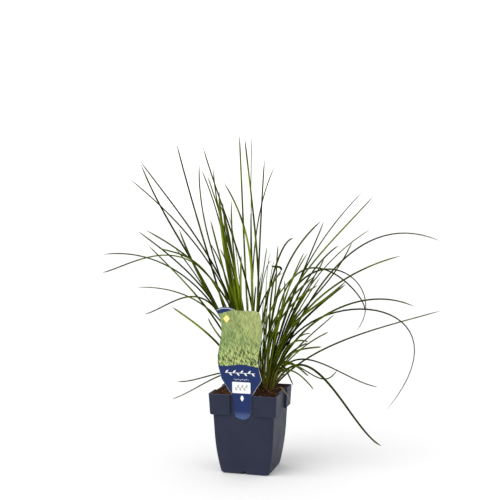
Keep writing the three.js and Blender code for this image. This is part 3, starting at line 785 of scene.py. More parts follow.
def print_group():
    """The card's print: grass on pale green over a navy foot with sprigs and a plain panel."""
    tree, _, result = new_group("Card print", "ShaderNodeTree", [], [("Color", COLOUR), ("Ink", FLOAT)])
    across, _, up = place_parts(tree)
    place = object_place(tree)
    blotches = noise(tree, 70.0, 3.0, 0.6, place).rise(0.3, 0.7)
    fine = noise(tree, 600.0, 3.0, 0.6, place)

    pale = up.rise(*PRINT_FIELD) * 0.55 + across.rise(*PRINT_PALE_SIDE) * 0.45 + blotches * 0.3 - 0.2
    field = mixed(tree, pale.smaller_of(1).larger_of(0), PRINT_GREEN, PRINT_OLIVE)
    strength = up.rise(*PRINT_STRONG_FOOT).inverse() * 0.65 + 0.22
    for seed, (slant, width, length) in enumerate(PRINTED_GRASS):
        blade, chance = printed_grass(tree, across, up, slant, width, length, seed)
        ink = mixed(tree, chance.rise(0.35, 0.65), PRINT_DEEP, PRINT_LIGHT)
        strong = (chance - 0.5).absolute().rise(0.05, 0.4)
        field = mixed(tree, blade * strong * strength, field, ink)

    lozenge_side = (across - LOZENGE_MIDDLE[0]).absolute() * LOZENGE_NARROWING
    lozenge = lozenge_side + (up - LOZENGE_MIDDLE[1]).absolute()
    colour = mixed(tree, lozenge.rise(*LOZENGE_EDGE).inverse(), field, PRINT_YELLOW)
    colour = mixed(tree, (lozenge - LOZENGE_RING).within(0.5, 0.9), colour, PRINT_WHITE)
    corner = (up - across * CORNER_SLOPE - CORNER_FOOT).rise(-0.3, 0.3)
    colour = mixed(tree, corner, colour, PRINT_NAVY)
    arc = (up + (across - ARC_MIDDLE).power(2) * ARC_BEND - ARC_TOP).within(0.3, 0.6)
    colour = mixed(tree, corner * arc * 0.8, colour, PRINT_WHITE)
    wave = up - (across * NAVY_WAVE_RATE).cosine() * NAVY_WAVE
    navy = wave.rise(*NAVY_TOP).inverse()
    colour = mixed(tree, navy, colour, PRINT_NAVY)

    panel_side = ((across - PANEL_MIDDLE[0]).absolute() - PANEL_HALF[0]).larger_of(0)
    panel_end = ((up - PANEL_MIDDLE[1]).absolute() - PANEL_HALF[1]).larger_of(0)
    panel = (panel_side.power(2) + panel_end.power(2)).rise(*PANEL_ROUND).inverse()
    above = up - DROP_LEVEL
    drop_width = (above / DROP_HALF_HEIGHT * (math.pi / 2)).cosine() * DROP_HALF_WIDTH
    drop = (drop_width - across.absolute()).rise(-0.3, 0.3) * above.within(*DROP_END)
    sprigs = sprig_row(across, up, WHITE_SPRIGS).larger_of(sprig_row(across, up, SMALL_SPRIGS))
    white = sprigs.larger_of(panel).larger_of(drop) * navy
    scuffs = up.rise(*PRINT_SCUFFS).inverse() * (fine.rise(0.4, 0.6) * 0.7 + 0.2)
    colour = mixed(tree, scuffs, colour, PRINT_BLUE)
    colour = mixed(tree, white, colour, PRINT_WHITE)
    colour = mixed(tree, sprig_row(across, up, GREY_SPRIGS) * 0.8, colour, PRINT_GREY)
    edge = attribute(tree, "edge_gap").rise(0.35, 0.6).inverse()
    border = edge * up.rise(*BORDER_FOOT) * up.rise(*BORDER_TOP).inverse()
    colour = mixed(tree, border * 0.6, colour, PRINT_WHITE)
    feed(tree, result.inputs["Color"], colour)
    feed(tree, result.inputs["Ink"], fine)
    return tree


def card_material():
    made, tree, shader = new_material("card_print", 0.3, specular=0.14)
    shader.inputs["Coat Weight"].default_value = 0.05
    shader.inputs["Coat Roughness"].default_value = 0.2
    printed = use_group(tree, print_group())
    feed(tree, shader.inputs["Base Color"], printed.outputs["Color"])
    feed(tree, shader.inputs["Roughness"], Value(tree, printed.outputs["Ink"]) * 0.15 + 0.25)
    return made


def card_back_material():
    made, tree, shader = new_material("card_back", 0.4)
    grain = use_group(tree, FINE_GRAIN, {"Grain Scale": 700.0, "Blotch Scale": 18.0})
    shade = Value(tree, grain.outputs["Blotches"]) * 0.08
    feed(tree, shader.inputs["Base Color"], mixed(tree, shade, CARD_WHITE, SOIL_ORANGE))
    bump(tree, shader, grain.outputs["Grain"], 0.15, 0.05)
    return made


def floor_material():
    made, tree, shader = new_material("pale_floor", 0.9, specular=0.1)
    cloud = noise(tree, 3.0, 2.0, 0.5, object_place(tree))
    feed(tree, shader.inputs["Base Color"], mixed(tree, cloud * 0.05, FLOOR_WHITE, CARD_WHITE))
    return made


# Meshes


def new_object(name, data):
    made = bpy.data.objects.new(name, data)
    bpy.context.scene.collection.objects.link(made)
    return made


def new_piece(name, points, faces):
    mesh = bpy.data.meshes.new(name)
    mesh.from_pydata([Vector(point) * MM for point in points], [], faces)
    return new_object(name, mesh)


def remove(piece):
    mesh = piece.data
    bpy.data.objects.remove(piece)
    bpy.data.meshes.remove(mesh)


def made_plain(piece):
    """Turns a piece's modifiers into its own mesh."""
    graph = bpy.context.evaluated_depsgraph_get()
    mesh = bpy.data.meshes.new_from_object(piece.evaluated_get(graph))
    old = piece.data
    piece.modifiers.clear()
    piece.data = mesh
    mesh.name = piece.name
    bpy.data.meshes.remove(old)
    return piece


def combined(piece, operation, other):
    """A piece joined with another, or cut by it. The other is used up."""
    cut = piece.modifiers.new(operation.lower(), "BOOLEAN")
    cut.operation = operation
    cut.solver = "EXACT"
    cut.object = other
    made_plain(piece)
    remove(other)
    return piece


def soften_edges(piece, width, degrees):
    """A small round along each edge that turns by more than the angle."""
    soft = piece.modifiers.new("soft edges", "BEVEL")
    soft.width = width * MM
    soft.segments = 2
    soft.limit_method = "ANGLE"
    soft.angle_limit = math.radians(degrees)
    made_plain(piece)


def smooth_by_angle(piece, degrees):
    """Smooth shading, with a crease where faces meet at more than the angle."""
    mesh = piece.data
    mesh.polygons.foreach_set("use_smooth", [True] * len(mesh.polygons))
    mesh.set_sharp_from_angle(angle=math.radians(degrees))


def loft(name, rings):
    """A closed skin over rings of the same count."""
    size = len(rings[0])
    points = [point for ring in rings for point in ring]
    faces = []
    for r in range(len(rings) - 1):
        for i in range(size):
            a = r * size + i
            b = r * size + (i + 1) % size
            faces.append((a, b, b + size, a + size))
    last = (len(rings) - 1) * size
    faces.append(tuple(reversed(range(size))))
    faces.append(tuple(range(last, last + size)))
    return new_piece(name, points, faces)


# Pot


def quarter_turn(count):
    return Matrix.Rotation(math.radians(90 * count), 3, "Z")


def rounded_square(half, corner, z):
    ring = []
    for quarter in range(4):
        middle = math.radians(90 * quarter + 45)
        offset = (half - corner) * math.sqrt(2)
        for step in range(ARC_STEPS + 1):
            angle = math.radians(90 * (quarter + step / ARC_STEPS))
            x = offset * math.cos(middle) + corner * math.cos(angle)
            y = offset * math.sin(middle) + corner * math.sin(angle)
            ring.append((x, y, z))
    return ring


def body_half_at(z):
    """The body tapers evenly, and its sides curve in further toward the foot."""
    tuck = max(0, 1 - z / BODY_TUCK_HEIGHT)
    return BODY_FOOT_HALF + (BODY_TOP_HALF - BODY_FOOT_HALF) * z / POT_HEIGHT - BODY_TUCK * tuck * tuck


def collar_half_at(z):
    share = (z - COLLAR_FOOT) / (POT_HEIGHT - COLLAR_FOOT)
    return COLLAR_FOOT_HALF + (RIM_HALF - COLLAR_FOOT_HALF) * share


def recess_outline(inset):
    """The U shape between two corner pads, whose lower corners are round."""
    half = RECESS_HALF + inset
    foot = COLLAR_FOOT + inset
    outer = half + RECESS_ROUND
    turns = [math.radians(90 * k / ARC_STEPS) for k in range(ARC_STEPS + 1)]
    right = [
        (outer - RECESS_ROUND * math.sin(turn), foot + RECESS_ROUND * (1 - math.cos(turn)))
        for turn in turns
    ]
    right = [(outer, foot - CUT_PAST), *right, (half, POT_HEIGHT + CUT_PAST)]
    return right + [(-x, z) for x, z in reversed(right)]


def recess_cutter(inset, quarter_turns):
    turn = quarter_turn(quarter_turns)
    outline = recess_outline(inset)
    far = 2 * RIM_HALF
    rings = [[turn @ Vector((x, y, z)) for x, z in outline] for y in (far, -far)]
    return loft("recess", rings)


def notch_cutter(inset, low, quarter_turns):
    """An arched notch in the foot of one side. The wall goes round it on the inside."""
    turn = quarter_turn(quarter_turns)
    half = DRAIN_NOTCH_HALF + inset
    middle = DRAIN_NOTCH_HEIGHT + inset - half
    arch = [(half, low - CUT_PAST)]
    for step in range(2 * ARC_STEPS + 1):
        angle = math.radians(90 * step / ARC_STEPS)
        arch.append((half * math.cos(angle), middle + half * math.sin(angle)))
    arch.append((-half, low - CUT_PAST))
    inner = -(BODY_FOOT_HALF - BODY_TUCK - DRAIN_NOTCH_DEPTH - inset)
    rings = [[turn @ Vector((x, y, z)) for x, z in arch] for y in (inner, -BODY_FOOT_HALF - CUT_PAST)]
    return loft("notch", rings)


def pot_form(inset, low, high):
    """The pot's form, drawn in on every side by an inset."""
    pad_foot = COLLAR_FOOT + inset
    rings = []
    for step in range(BODY_FOOT_ROUND_STEPS + 1):
        angle = math.radians(90 * step / BODY_FOOT_ROUND_STEPS)
        up = low + BODY_FOOT_ROUND * (1 - math.cos(angle))
        half = body_half_at(up) - inset - BODY_FOOT_ROUND * (1 - math.sin(angle))
        rings.append(rounded_square(half, BODY_CORNER - inset, up))
    lowest = BODY_RING_STEP + math.ceil(low + BODY_FOOT_ROUND)
    for up in (*range(lowest, BODY_TUCK_HEIGHT + 1, BODY_RING_STEP), high):
        rings.append(rounded_square(body_half_at(up) - inset, BODY_CORNER - inset, up))
    body = loft("body", rings)
    corner = COLLAR_CORNER - inset
    collar = loft(
        "collar",
        [
            rounded_square(collar_half_at(pad_foot) - inset - EDGE, corner, pad_foot),
            rounded_square(collar_half_at(pad_foot + EDGE) - inset, corner, pad_foot + EDGE),
            rounded_square(collar_half_at(high) - inset, corner, high),
        ],
    )
    for quarter_turns in (0, 1):
        combined(collar, "DIFFERENCE", recess_cutter(inset, quarter_turns))
    combined(body, "UNION", collar)
    for quarter_turns in range(4):
        combined(body, "DIFFERENCE", notch_cutter(inset, low, quarter_turns))
    return body


def drain_cutters():
    """Round holes in the floor."""
    cutters = []
    for quarter in range(4):
        turn = quarter_turn(quarter)
        circle = []
        for k in range(DRAIN_HOLE_SIDES):
            angle = math.radians(360 * k / DRAIN_HOLE_SIDES)
            x = DRAIN_HOLE_OFFSET + DRAIN_HOLE_RADIUS * math.cos(angle)
            y = DRAIN_HOLE_OFFSET + DRAIN_HOLE_RADIUS * math.sin(angle)
            circle.append((x, y))
        hole = [[turn @ Vector((x, y, z)) for x, y in circle] for z in (-FLOOR, 2 * FLOOR)]
        cutters.append(loft("hole", hole))
    return cutters


def make_pot(material):
    pot = pot_form(0, 0, POT_HEIGHT)
    combined(pot, "DIFFERENCE", pot_form(WALL, FLOOR, POT_HEIGHT + OPEN_PAST))
    for cutter in drain_cutters():
        combined(pot, "DIFFERENCE", cutter)
    pot.name = "pot_shell"
    soften_edges(pot, POT_BEVEL, POT_BEVEL_ANGLE)
    smooth_by_angle(pot, POT_CREASE)
    even = pot.modifiers.new("even shading", "WEIGHTED_NORMAL")
    even.weight = 100
    even.keep_sharp = True
    made_plain(pot)
    pot.data.materials.clear()
    pot.data.materials.append(material)
    return pot


# Compost


def soil_level(x, y):
    """Heaped to the rim at the left and the back, lower at the front right, with lumps all over."""
    heap = SOIL_HEAP * (0.5 + 0.5 * math.tanh((y * SOIL_SLOPE_BACK - x) / SOIL_SLOPE_LENGTH))
    across, along, slant_across, slant_along = SOIL_LUMP_WAVES
    shift_across, shift_along = SOIL_LUMP_SHIFTS
    broad = math.sin(x * across + shift_across) * math.sin(y * along + shift_along)
    slanted = SOIL_SLANTED_SHARE * math.sin(x * slant_across + y * slant_along)
    return SOIL_TOP + heap + SOIL_LUMP * (broad + slanted)


def soil_patch(name, keep_clear):
    """The compost's open surface as a net of small squares."""
    count = int(2 * SOIL_REACH / SOIL_CELL)
    places = [SOIL_REACH * (2 * k / count - 1) for k in range(count + 1)]
    points = [(x, y, soil_level(x, y)) for y in places for x in places]
    faces = []
    for j in range(count):
        for i in range(count):
            middle = Vector((places[i] + SOIL_CELL / 2, places[j] + SOIL_CELL / 2))
            if any((middle - Vector(spot)).length < reach for spot, reach in keep_clear):
                continue
            a = j * (count + 1) + i
            faces.append((a, a + 1, a + count + 2, a + count + 1))
    return new_piece(name, points, faces)


def scatter_tree():
    """Rough crumbs of mixed sizes, scattered over a surface."""
    tree, given, result = new_group(
        "Scattered crumbs",
        "GeometryNodeTree",
        [
            ("Surface", "NodeSocketGeometry", None),
            ("Density", FLOAT, 100000.0),
            ("Smallest", FLOAT, 0.0005),
            ("Largest", FLOAT, 0.002),
            ("Flatness", FLOAT, 0.6),
            ("Seed", "NodeSocketInt", 1),
            ("Finish", "NodeSocketMaterial", None),
        ],
        [("Crumbs", "NodeSocketGeometry")],
    )
    seed = given.outputs["Seed"]
    points = node(
        tree,
        "GeometryNodeDistributePointsOnFaces",
        {"Mesh": given.outputs["Surface"], "Density": given.outputs["Density"], "Seed": seed},
    )
    tinted = node(
        tree,
        "GeometryNodeStoreNamedAttribute",
        {"Geometry": points.outputs["Points"], "Name": "tint"},
    )
    tint = node(tree, "FunctionNodeRandomValue", {"Seed": seed})
    feed(tree, tinted.inputs["Value"], tint.outputs[1])
    ball = node(tree, "GeometryNodeMeshIcoSphere", {"Radius": 1.0, "Subdivisions": 2})
    rough = node(tree, "ShaderNodeTexNoise", {"Scale": CRUMB_LUMPS, "Detail": 1.0})
    push = node(
        tree,
        "ShaderNodeVectorMath",
        {0: rough.outputs["Color"], 1: (0.5, 0.5, 0.5)},
        operation="SUBTRACT",
    )
    lumpy = node(
        tree,
        "ShaderNodeVectorMath",
        {0: push.outputs[0], "Scale": CRUMB_ROUGHNESS},
        operation="SCALE",
    )
    crumb = node(
        tree,
        "GeometryNodeSetPosition",
        {"Geometry": ball.outputs["Mesh"], "Offset": lumpy.outputs[0]},
    )
    turn = node(
        tree,
        "FunctionNodeRandomValue",
        {"Min": (0, 0, 0), "Max": (CRUMB_TURN, CRUMB_TURN, CRUMB_TURN), "Seed": seed},
        data_type="FLOAT_VECTOR",
    )
    index = node(tree, "GeometryNodeInputIndex").outputs[0]
    chance = node(tree, "FunctionNodeRandomValue", {"Seed": seed, "ID": index})
    small = Value(tree, given.outputs["Smallest"])
    large = Value(tree, given.outputs["Largest"])
    size = small + (large - small) * Value(tree, chance.outputs[1]).power(3)
    stretch = node(
        tree,
        "ShaderNodeCombineXYZ",
        {0: size * CRUMB_STRETCH, 1: size, 2: size * Value(tree, given.outputs["Flatness"])},
    )
    placed = node(
        tree,
        "GeometryNodeInstanceOnPoints",
        {
            "Points": tinted.outputs[0],
            "Instance": crumb.outputs[0],
            "Rotation": turn.outputs[0],
            "Scale": stretch.outputs[0],
        },
    )
    real = node(tree, "GeometryNodeRealizeInstances", {"Geometry": placed.outputs[0]})
    finish = node(
        tree,
        "GeometryNodeSetMaterial",
        {"Geometry": real.outputs[0], "Material": given.outputs["Finish"]},
    )
    feed(tree, result.inputs["Crumbs"], finish.outputs[0])
    return tree


def run_tree(piece, tree, **values):
    """Runs a geometry tree on a piece with named inputs, and keeps the result as its mesh."""
    grown = piece.modifiers.new(tree.name, "NODES")
    grown.node_group = tree
    sockets = [item for item in tree.interface.items_tree if item.in_out == "INPUT"]
    keys = {item.name: item.identifier for item in sockets}
    for name, value in values.items():
        grown[keys[name.replace("_", " ").title()]] = value
    return made_plain(piece)


def make_crumbs(material, keep_clear):
    return run_tree(
        soil_patch("compost_crumbs", keep_clear),
        scatter_tree(),
        density=CRUMB_DENSITY,
        smallest=CRUMB_SMALLEST * MM,
        largest=CRUMB_LARGEST * MM,
        flatness=CRUMB_FLATNESS,
        seed=CRUMB_SEED,
        finish=material,
    )


# Leaves


def fan_point(across, toward, up):
    """A point given across and toward the viewer in the fan plane, and up."""
    turn = math.radians(FAN_TURN)
    x = across * math.cos(turn) + toward * math.sin(turn)
    y = across * math.sin(turn) - toward * math.cos(turn)
    return Vector((x, y, up))


def seeded_draw(seed):
    """Draws between 0 and 1, the same every time."""
    mask = 0xFFFFFFFF
    state = seed

    def draw():
        nonlocal state
        state = (state + 0x6D2B79F5) & mask
        mixing = ((state ^ (state >> 15)) * (1 | state)) & mask
        mixing = ((mixing + (mixing ^ (mixing >> 7)) * (61 | mixing)) & mask) ^ mixing
        return (mixing ^ (mixing >> 14)) / (mask + 1)

    return draw


def bent_clear(point, side):
    """The bunches keep to their own sides of the parting."""
    across, toward, up = point
    turn = math.radians(PARTING_TURN)
    line = PARTING_ACROSS + PARTING_CURVE * (up - SOIL) ** 2
    distance = (across - line) * math.cos(turn) + (toward - PARTING_TOWARD) * math.sin(turn)
    distance *= side
    if distance >= PARTING_SOFT:
        return point
    band = PARTING_SOFT - PARTING_CLEAR
    kept = PARTING_CLEAR + band * math.exp((distance - PARTING_SOFT) / band)
    push = side * (kept - distance)
    return (across + push * math.cos(turn), toward + push * math.sin(turn), up)


def through_four(points, t):
    """The cubic through four points at the start, a third, two thirds and the end."""
    s = 3 * t
    weights = (
        -((s - 1) * (s - 2) * (s - 3)) / 6,
        (s * (s - 2) * (s - 3)) / 2,
        -(s * (s - 1) * (s - 3)) / 2,
        (s * (s - 1) * (s - 2)) / 6,
    )
    return tuple(sum(w * point[axis] for w, point in zip(weights, points)) for axis in range(3))


def leading_leaf(bunch, row, draw):
    across1, up1, across2, up2, tip_across, tip_up, tip_toward, width = row
    foot_reach = FOOT_REACH * bunch["radius"]
    lean = max(-1, min(1, (across1 - bunch["middle"]) / FOOT_SPREAD))
    foot_toward = bunch["toward"] + foot_reach * (2 * draw() - 1)
    foot = (bunch["across"] + foot_reach * lean, foot_toward, ROOT_LEVEL)
    third = (across1, foot_toward + (tip_toward - foot_toward) * TOWARD_SHARES[0], up1)
    two_thirds = (across2, foot_toward + (tip_toward - foot_toward) * TOWARD_SHARES[1], up2)
    tip = (tip_across, tip_toward, tip_up)
    roll = LEAF_TURN + LEAF_ROLL * (2 * draw() - 1)
    twist = LEAF_TWIST * (2 * draw() - 1)
    return {"points": (foot, third, two_thirds, tip), "width": width, "roll": roll, "twist": twist}


def fill_leaf(bunch, fill, draw):
    """A leaf by rule: the more it arches, the further it reaches out and the more its tip droops."""

    def between(limits, share):
        return limits[0] + (limits[1] - limits[0]) * share

    angle = math.radians(between(fill["sector"], draw()))
    arch = draw()
    size = between(fill["length"], draw() ** FILL_SHORT_BIAS)
    out = size * between(fill["reach"], arch)
    rise = size * (FILL_RISE - FILL_ARCH_LOSS * arch * arch)
    droop = FILL_DROOP * arch * draw()
    around = FOOT_REACH * bunch["radius"] * math.sqrt(draw())
    foot = (
        bunch["across"] + around * math.cos(angle),
        bunch["toward"] - around * math.sin(angle),
        ROOT_LEVEL,
    )

    def at(out_share, up_share):
        return (
            foot[0] + out * out_share * math.cos(angle),
            foot[1] - out * out_share * math.sin(angle),
            foot[2] + rise * up_share,
        )

    width = between(fill["width"], draw())
    roll = LEAF_TURN + LEAF_ROLL * (2 * draw() - 1)
    twist = LEAF_TWIST * (2 * draw() - 1)
    points = (foot, at(*FILL_THIRD), at(*FILL_TWO_THIRDS), at(1, 1 - droop))
    return {"points": points, "width": width, "roll": roll, "twist": twist}


def width_share(along, width):
    """Full over the lower part, then tapering, with a fine tip."""
    outer = max(0, along - TAPER_START) / (1 - TAPER_START)
    taper = 1 - (1 - min(TIP_WIDTH_SHARE, TIP_WIDTH_MOST / width)) * outer
    tip = min(1, (1 - along) / TIP_FADE)
    return taper * (TIP_END_SHARE + (1 - TIP_END_SHARE) * math.sqrt(tip))


def guide(leaf, place, steps, tint):
    """A leaf's middle line, with its level edge, half width, share of length and tint at each point."""
    path = [place(through_four(leaf["points"], k / steps)) for k in range(steps + 1)]
    heading = path[-1] - path[0]
    level = Vector((-heading.y, heading.x, 0)).normalized()
    rows = []
    for k, point in enumerate(path):
        along = k / steps
        tangent = (path[min(steps, k + 1)] - path[max(0, k - 1)]).normalized()
        edge = (level - tangent * level.dot(tangent)).normalized()
        turn = math.radians(leaf["roll"] + leaf["twist"] * along)
        edge = Matrix.Rotation(turn, 3, tangent) @ edge
        half = 0.5 * LEAF_FULLNESS * leaf["width"] * width_share(along, leaf["width"])
        rows.append((point, edge, half * MM, along, tint))
    return rows


def blade_tree():
    """Folded blades swept along guide lines."""
    tree, given, result = new_group(
        "Swept blades",
        "GeometryNodeTree",
        [
            ("Guides", "NodeSocketGeometry", None),
            ("Sides", "NodeSocketInt", 8),
            ("Fold", FLOAT, 0.5),
            ("Thickness", FLOAT, 0.16),
            ("Finish", "NodeSocketMaterial", None),
        ],
        [("Blades", "NodeSocketGeometry")],
    )
    circle = node(
        tree,
        "GeometryNodeCurvePrimitiveCircle",
        {"Resolution": given.outputs["Sides"], "Radius": 1.0},
    )
    position = node(tree, "GeometryNodeInputPosition")
    parts = node(tree, "ShaderNodeSeparateXYZ", {0: position.outputs[0]})
    across = Value(tree, parts.outputs[0])
    round_up = Value(tree, parts.outputs[1])
    outline = circle.outputs["Curve"]
    for name, value in (("across", across), ("keel", round_up)):
        stored = node(tree, "GeometryNodeStoreNamedAttribute", {"Geometry": outline, "Name": name})
        feed(tree, stored.inputs["Value"], value)
        outline = stored.outputs[0]
    folded = across.absolute().inverse() * Value(tree, given.outputs["Fold"])
    height = folded + round_up * Value(tree, given.outputs["Thickness"])
    shaped = node(tree, "GeometryNodeSetPosition", {"Geometry": outline})
    section = node(tree, "ShaderNodeCombineXYZ", {0: across, 1: height})
    feed(tree, shaped.inputs["Position"], section.outputs[0])
    lines = node(tree, "GeometryNodeMeshToCurve", {"Mesh": given.outputs["Guides"]})
    edge = node(tree, "GeometryNodeInputNamedAttribute", {"Name": "edge"}, data_type="FLOAT_VECTOR")
    turned = node(
        tree,
        "GeometryNodeSetCurveNormal",
        {"Curve": lines.outputs[0], "Normal": edge.outputs["Attribute"]},
        mode="FREE",
    )
    half = node(tree, "GeometryNodeInputNamedAttribute", {"Name": "half"}, data_type="FLOAT")
    swept = node(
        tree,
        "GeometryNodeCurveToMesh",
        {
            "Curve": turned.outputs[0],
            "Profile Curve": shaped.outputs[0],
            "Scale": half.outputs["Attribute"],
            "Fill Caps": True,
        },
    )
    smooth = node(tree, "GeometryNodeSetShadeSmooth", {"Geometry": swept.outputs[0]})
    real = node(tree, "GeometryNodeRealizeInstances", {"Geometry": smooth.outputs[0]})
    finish = node(
        tree,
        "GeometryNodeSetMaterial",
        {"Geometry": real.outputs[0], "Material": given.outputs["Finish"]},
    )
    feed(tree, result.inputs["Blades"], finish.outputs[0])
    return tree


BLADES = blade_tree()


def make_blades(name, guides, material):
    points = []
    edges = []
    for rows in guides:
        start = len(points)
        points.extend(rows)
        edges.extend((k, k + 1) for k in range(start, len(points) - 1))
    mesh = bpy.data.meshes.new(name)
    mesh.from_pydata([row[0] * MM for row in points], edges, [])
    edge = mesh.attributes.new("edge", "FLOAT_VECTOR", "POINT")
    edge.data.foreach_set("vector", [value for row in points for value in row[1]])
    for column, title in ((2, "half"), (3, "along"), (4, "tint")):
        made = mesh.attributes.new(title, "FLOAT", "POINT")
        made.data.foreach_set("value", [row[column] for row in points])
    return run_tree(
        new_object(name, mesh),
        BLADES,
        sides=LEAF_SIDES,
        fold=LEAF_FOLD,
        thickness=LEAF_THICKNESS,
        finish=material,
    )


def placing(bunch):
    """Turns a point of the fan plane into a place on the bunch's own side of the parting."""

    def place(point):
        return fan_point(*bent_clear(point, bunch["side"]))

    return place


def share_past(start, reach, value):
    """0 up to the start, and 1 once the value is the reach past it."""
    return min(1, max(0, (value - start) / reach))


def bunch_guides(bunch):
    """The leaves of a bunch: the leading ones, the fill, the broken tip, and fine ones between them."""
    draw = seeded_draw(bunch["seed"])
    leaves = [leading_leaf(bunch, row, draw) for row in bunch["leading"]]
    leaves += [fill_leaf(bunch, bunch["fill"], draw) for _ in range(bunch["fill"]["count"])]
    if bunch["broken_tip"]:
        points, width = bunch["broken_tip"]
        leaves.append({"points": points, "width": width, "roll": LEAF_TURN, "twist": 0})
    draw = seeded_draw(bunch["seed"] + FINE_SEED)
    leaves += [fill_leaf(bunch, bunch["fine"], draw) for _ in range(bunch["fine"]["count"])]
    tint = seeded_draw(bunch["seed"] + TINT_SEED)
    chance_share, inner_share, lit_front_share, broad_share = SHADE_SHARES

    def shade(leaf):
        """Leaves near the middle are brighter, and so are broad ones; those further back get painted
        shade.
        """
        tip_across, tip_toward, _ = leaf["points"][3]
        inner = max(0, 1 - abs(tip_across - bunch["across"]) / SHADE_INNER_REACH)
        # Painted shade: a tip further from the viewer is darker, as if shadowed by the leaves in front.
        lit_front = share_past(*SHADE_LIT_FRONT, tip_toward)
        broad = share_past(*SHADE_BROAD, leaf["width"])
        bright = chance_share * tint() + inner_share * inner + lit_front_share * lit_front + broad_share * broad
        return min(1, bright)

    place = placing(bunch)
    return [guide(leaf, place, LEAF_STEPS, shade(leaf)) for leaf in leaves]


def sheath_guides(bunch):
    """Short straw sheaths round a crown's foot."""
    draw = seeded_draw(bunch["seed"] + SHEATH_SEED)
    leaves = [fill_leaf(bunch, SHEATHS, draw) for _ in range(bunch["sheaths"])]
    place = placing(bunch)
    return [guide(leaf, place, SHEATH_STEPS, draw()) for leaf in leaves]


# Label


def label_wave(up):
    """How far the wavy sides swing at a level."""
    length = LABEL_WAVE_LENGTH if up > LABEL_WAIST else LABEL_FOOT_WAVE_LENGTH
    return -LABEL_WAVE * math.cos(2 * math.pi * (up - LABEL_WAIST) / length)


def label_back(up):
    """The card's back face: it leans out with the recess wall and is bowed back toward the top."""
    rise = max(0, up - POT_HEIGHT) / (LABEL_TOP - POT_HEIGHT)
    return -(body_half_at(up) + CLEARANCE) + LABEL_BOW * rise * rise


def card_left(up):
    """The left side, which swings out to the end of the cap."""
    blend_foot = CAP_END[1] - CAP_BLEND
    if up <= blend_foot:
        return LABEL_LEFT + label_wave(up)
    if up <= CAP_END[1]:
        foot = LABEL_LEFT + label_wave(blend_foot)
        return foot + (CAP_END[0] - foot) * (up - blend_foot) / CAP_BLEND
    return CAP_END[0] + (CAP_LEFT - CAP_END[0]) * (up - CAP_END[1]) / (CAP_FOOT - CAP_END[1])


def card_right(up):
    """The right side, with its round top corner."""
    corner_foot = LABEL_TOP - LABEL_CORNER
    if up <= corner_foot:
        return LABEL_RIGHT + label_wave(up)
    turn = 1 - math.sqrt(max(0, 1 - (up - corner_foot) / LABEL_CORNER))
    return LABEL_RIGHT + label_wave(corner_foot) - LABEL_CORNER * turn * turn


def card_rows():
    """Level, left and right limit of the card, from the tongue's tip to the cap's top."""
    rows = []
    for step in range(1, TONGUE_ROUND_STEPS + 1):
        t = step / TONGUE_ROUND_STEPS
        across = TONGUE_FOOT_HALF * (2 * t * (1 - t) + t * t)
        up = TONGUE_TIP + 2 * t * (1 - t) * TONGUE_BULGE + t * t * TONGUE_ROUND
        rows.append((up, -across, across))
    tongue_end = TONGUE_TIP + TONGUE_ROUND
    for step in range(1, TONGUE_STEPS + 1):
        up = tongue_end + (POT_HEIGHT - NECK_STEP - tongue_end) * step / TONGUE_STEPS
        across = TONGUE_FOOT_HALF + (TONGUE_HALF - TONGUE_FOOT_HALF) * step / TONGUE_STEPS
        rows.append((up, -across, across))
    for step in range(NECK_STEPS + 1):
        share = step / NECK_STEPS
        up = POT_HEIGHT + NECK_STEP + (LABEL_SHOULDER - POT_HEIGHT - NECK_STEP) * share
        left = -LABEL_NECK_HALF + (card_left(LABEL_SHOULDER) + LABEL_NECK_HALF) * share
        right = LABEL_NECK_HALF + (card_right(LABEL_SHOULDER) - LABEL_NECK_HALF) * share
        rows.append((up, left, right))
    for step in range(1, CARD_ROWS + 1):
        up = LABEL_SHOULDER + (LABEL_TOP - LABEL_SHOULDER) * step / CARD_ROWS
        rows.append((up, card_left(up), card_right(up)))
    cap_middle = (CAP_LEFT + CAP_RIGHT) / 2
    cap_half = (CAP_RIGHT - CAP_LEFT) / 2
    cap_radius = (cap_half**2 + CAP_RISE**2) / (2 * CAP_RISE)
    rows.append((LABEL_TOP + CAP_SEAM, card_left(LABEL_TOP), CAP_RIGHT))
    for step in range(CAP_STEPS + 1):
        rise = CAP_RISE * math.sin(math.radians(CAP_TURN * step / CAP_STEPS))
        across = math.sqrt(cap_radius**2 - (cap_radius - CAP_RISE + rise) ** 2)
        rows.append((CAP_FOOT + rise, cap_middle - across, cap_middle + across))
    return rows


def make_card(front_material, back_material):
    rows = card_rows()
    points = []
    gaps = []
    for depth in (LABEL_THICKNESS, 0):
        for up, left, right in rows:
            for k in range(CARD_COLUMNS + 1):
                x = left + (right - left) * k / CARD_COLUMNS
                points.append((x, label_back(up) - depth, up))
                gaps.append(min(x - left, right - x))
    size = CARD_COLUMNS + 1
    back = len(rows) * size
    faces = []
    for r in range(len(rows) - 1):
        for k in range(CARD_COLUMNS):
            a = r * size + k
            faces.append((a, a + 1, a + size + 1, a + size))
    front_count = len(faces)
    faces += [tuple(back + i for i in reversed(face)) for face in faces]
    for r in range(len(rows) - 1):
        a = r * size
        b = a + CARD_COLUMNS
        faces.append((a, a + size, back + a + size, back + a))
        faces.append((b, back + b, back + b + size, b + size))
    last = back - size
    for k in range(CARD_COLUMNS):
        faces.append((k, back + k, back + k + 1, k + 1))
        faces.append((last + k, last + k + 1, back + last + k + 1, back + last + k))
    card = new_piece("label_card", points, faces)
    gap = card.data.attributes.new("edge_gap", "FLOAT", "POINT")
    gap.data.foreach_set("value", gaps)
    card.data.materials.append(front_material)
    card.data.materials.append(back_material)
    indices = [0 if k < front_count else 1 for k in range(len(faces))]
    card.data.polygons.foreach_set("material_index", indices)
    smooth_by_angle(card, LABEL_CREASE)
    return card


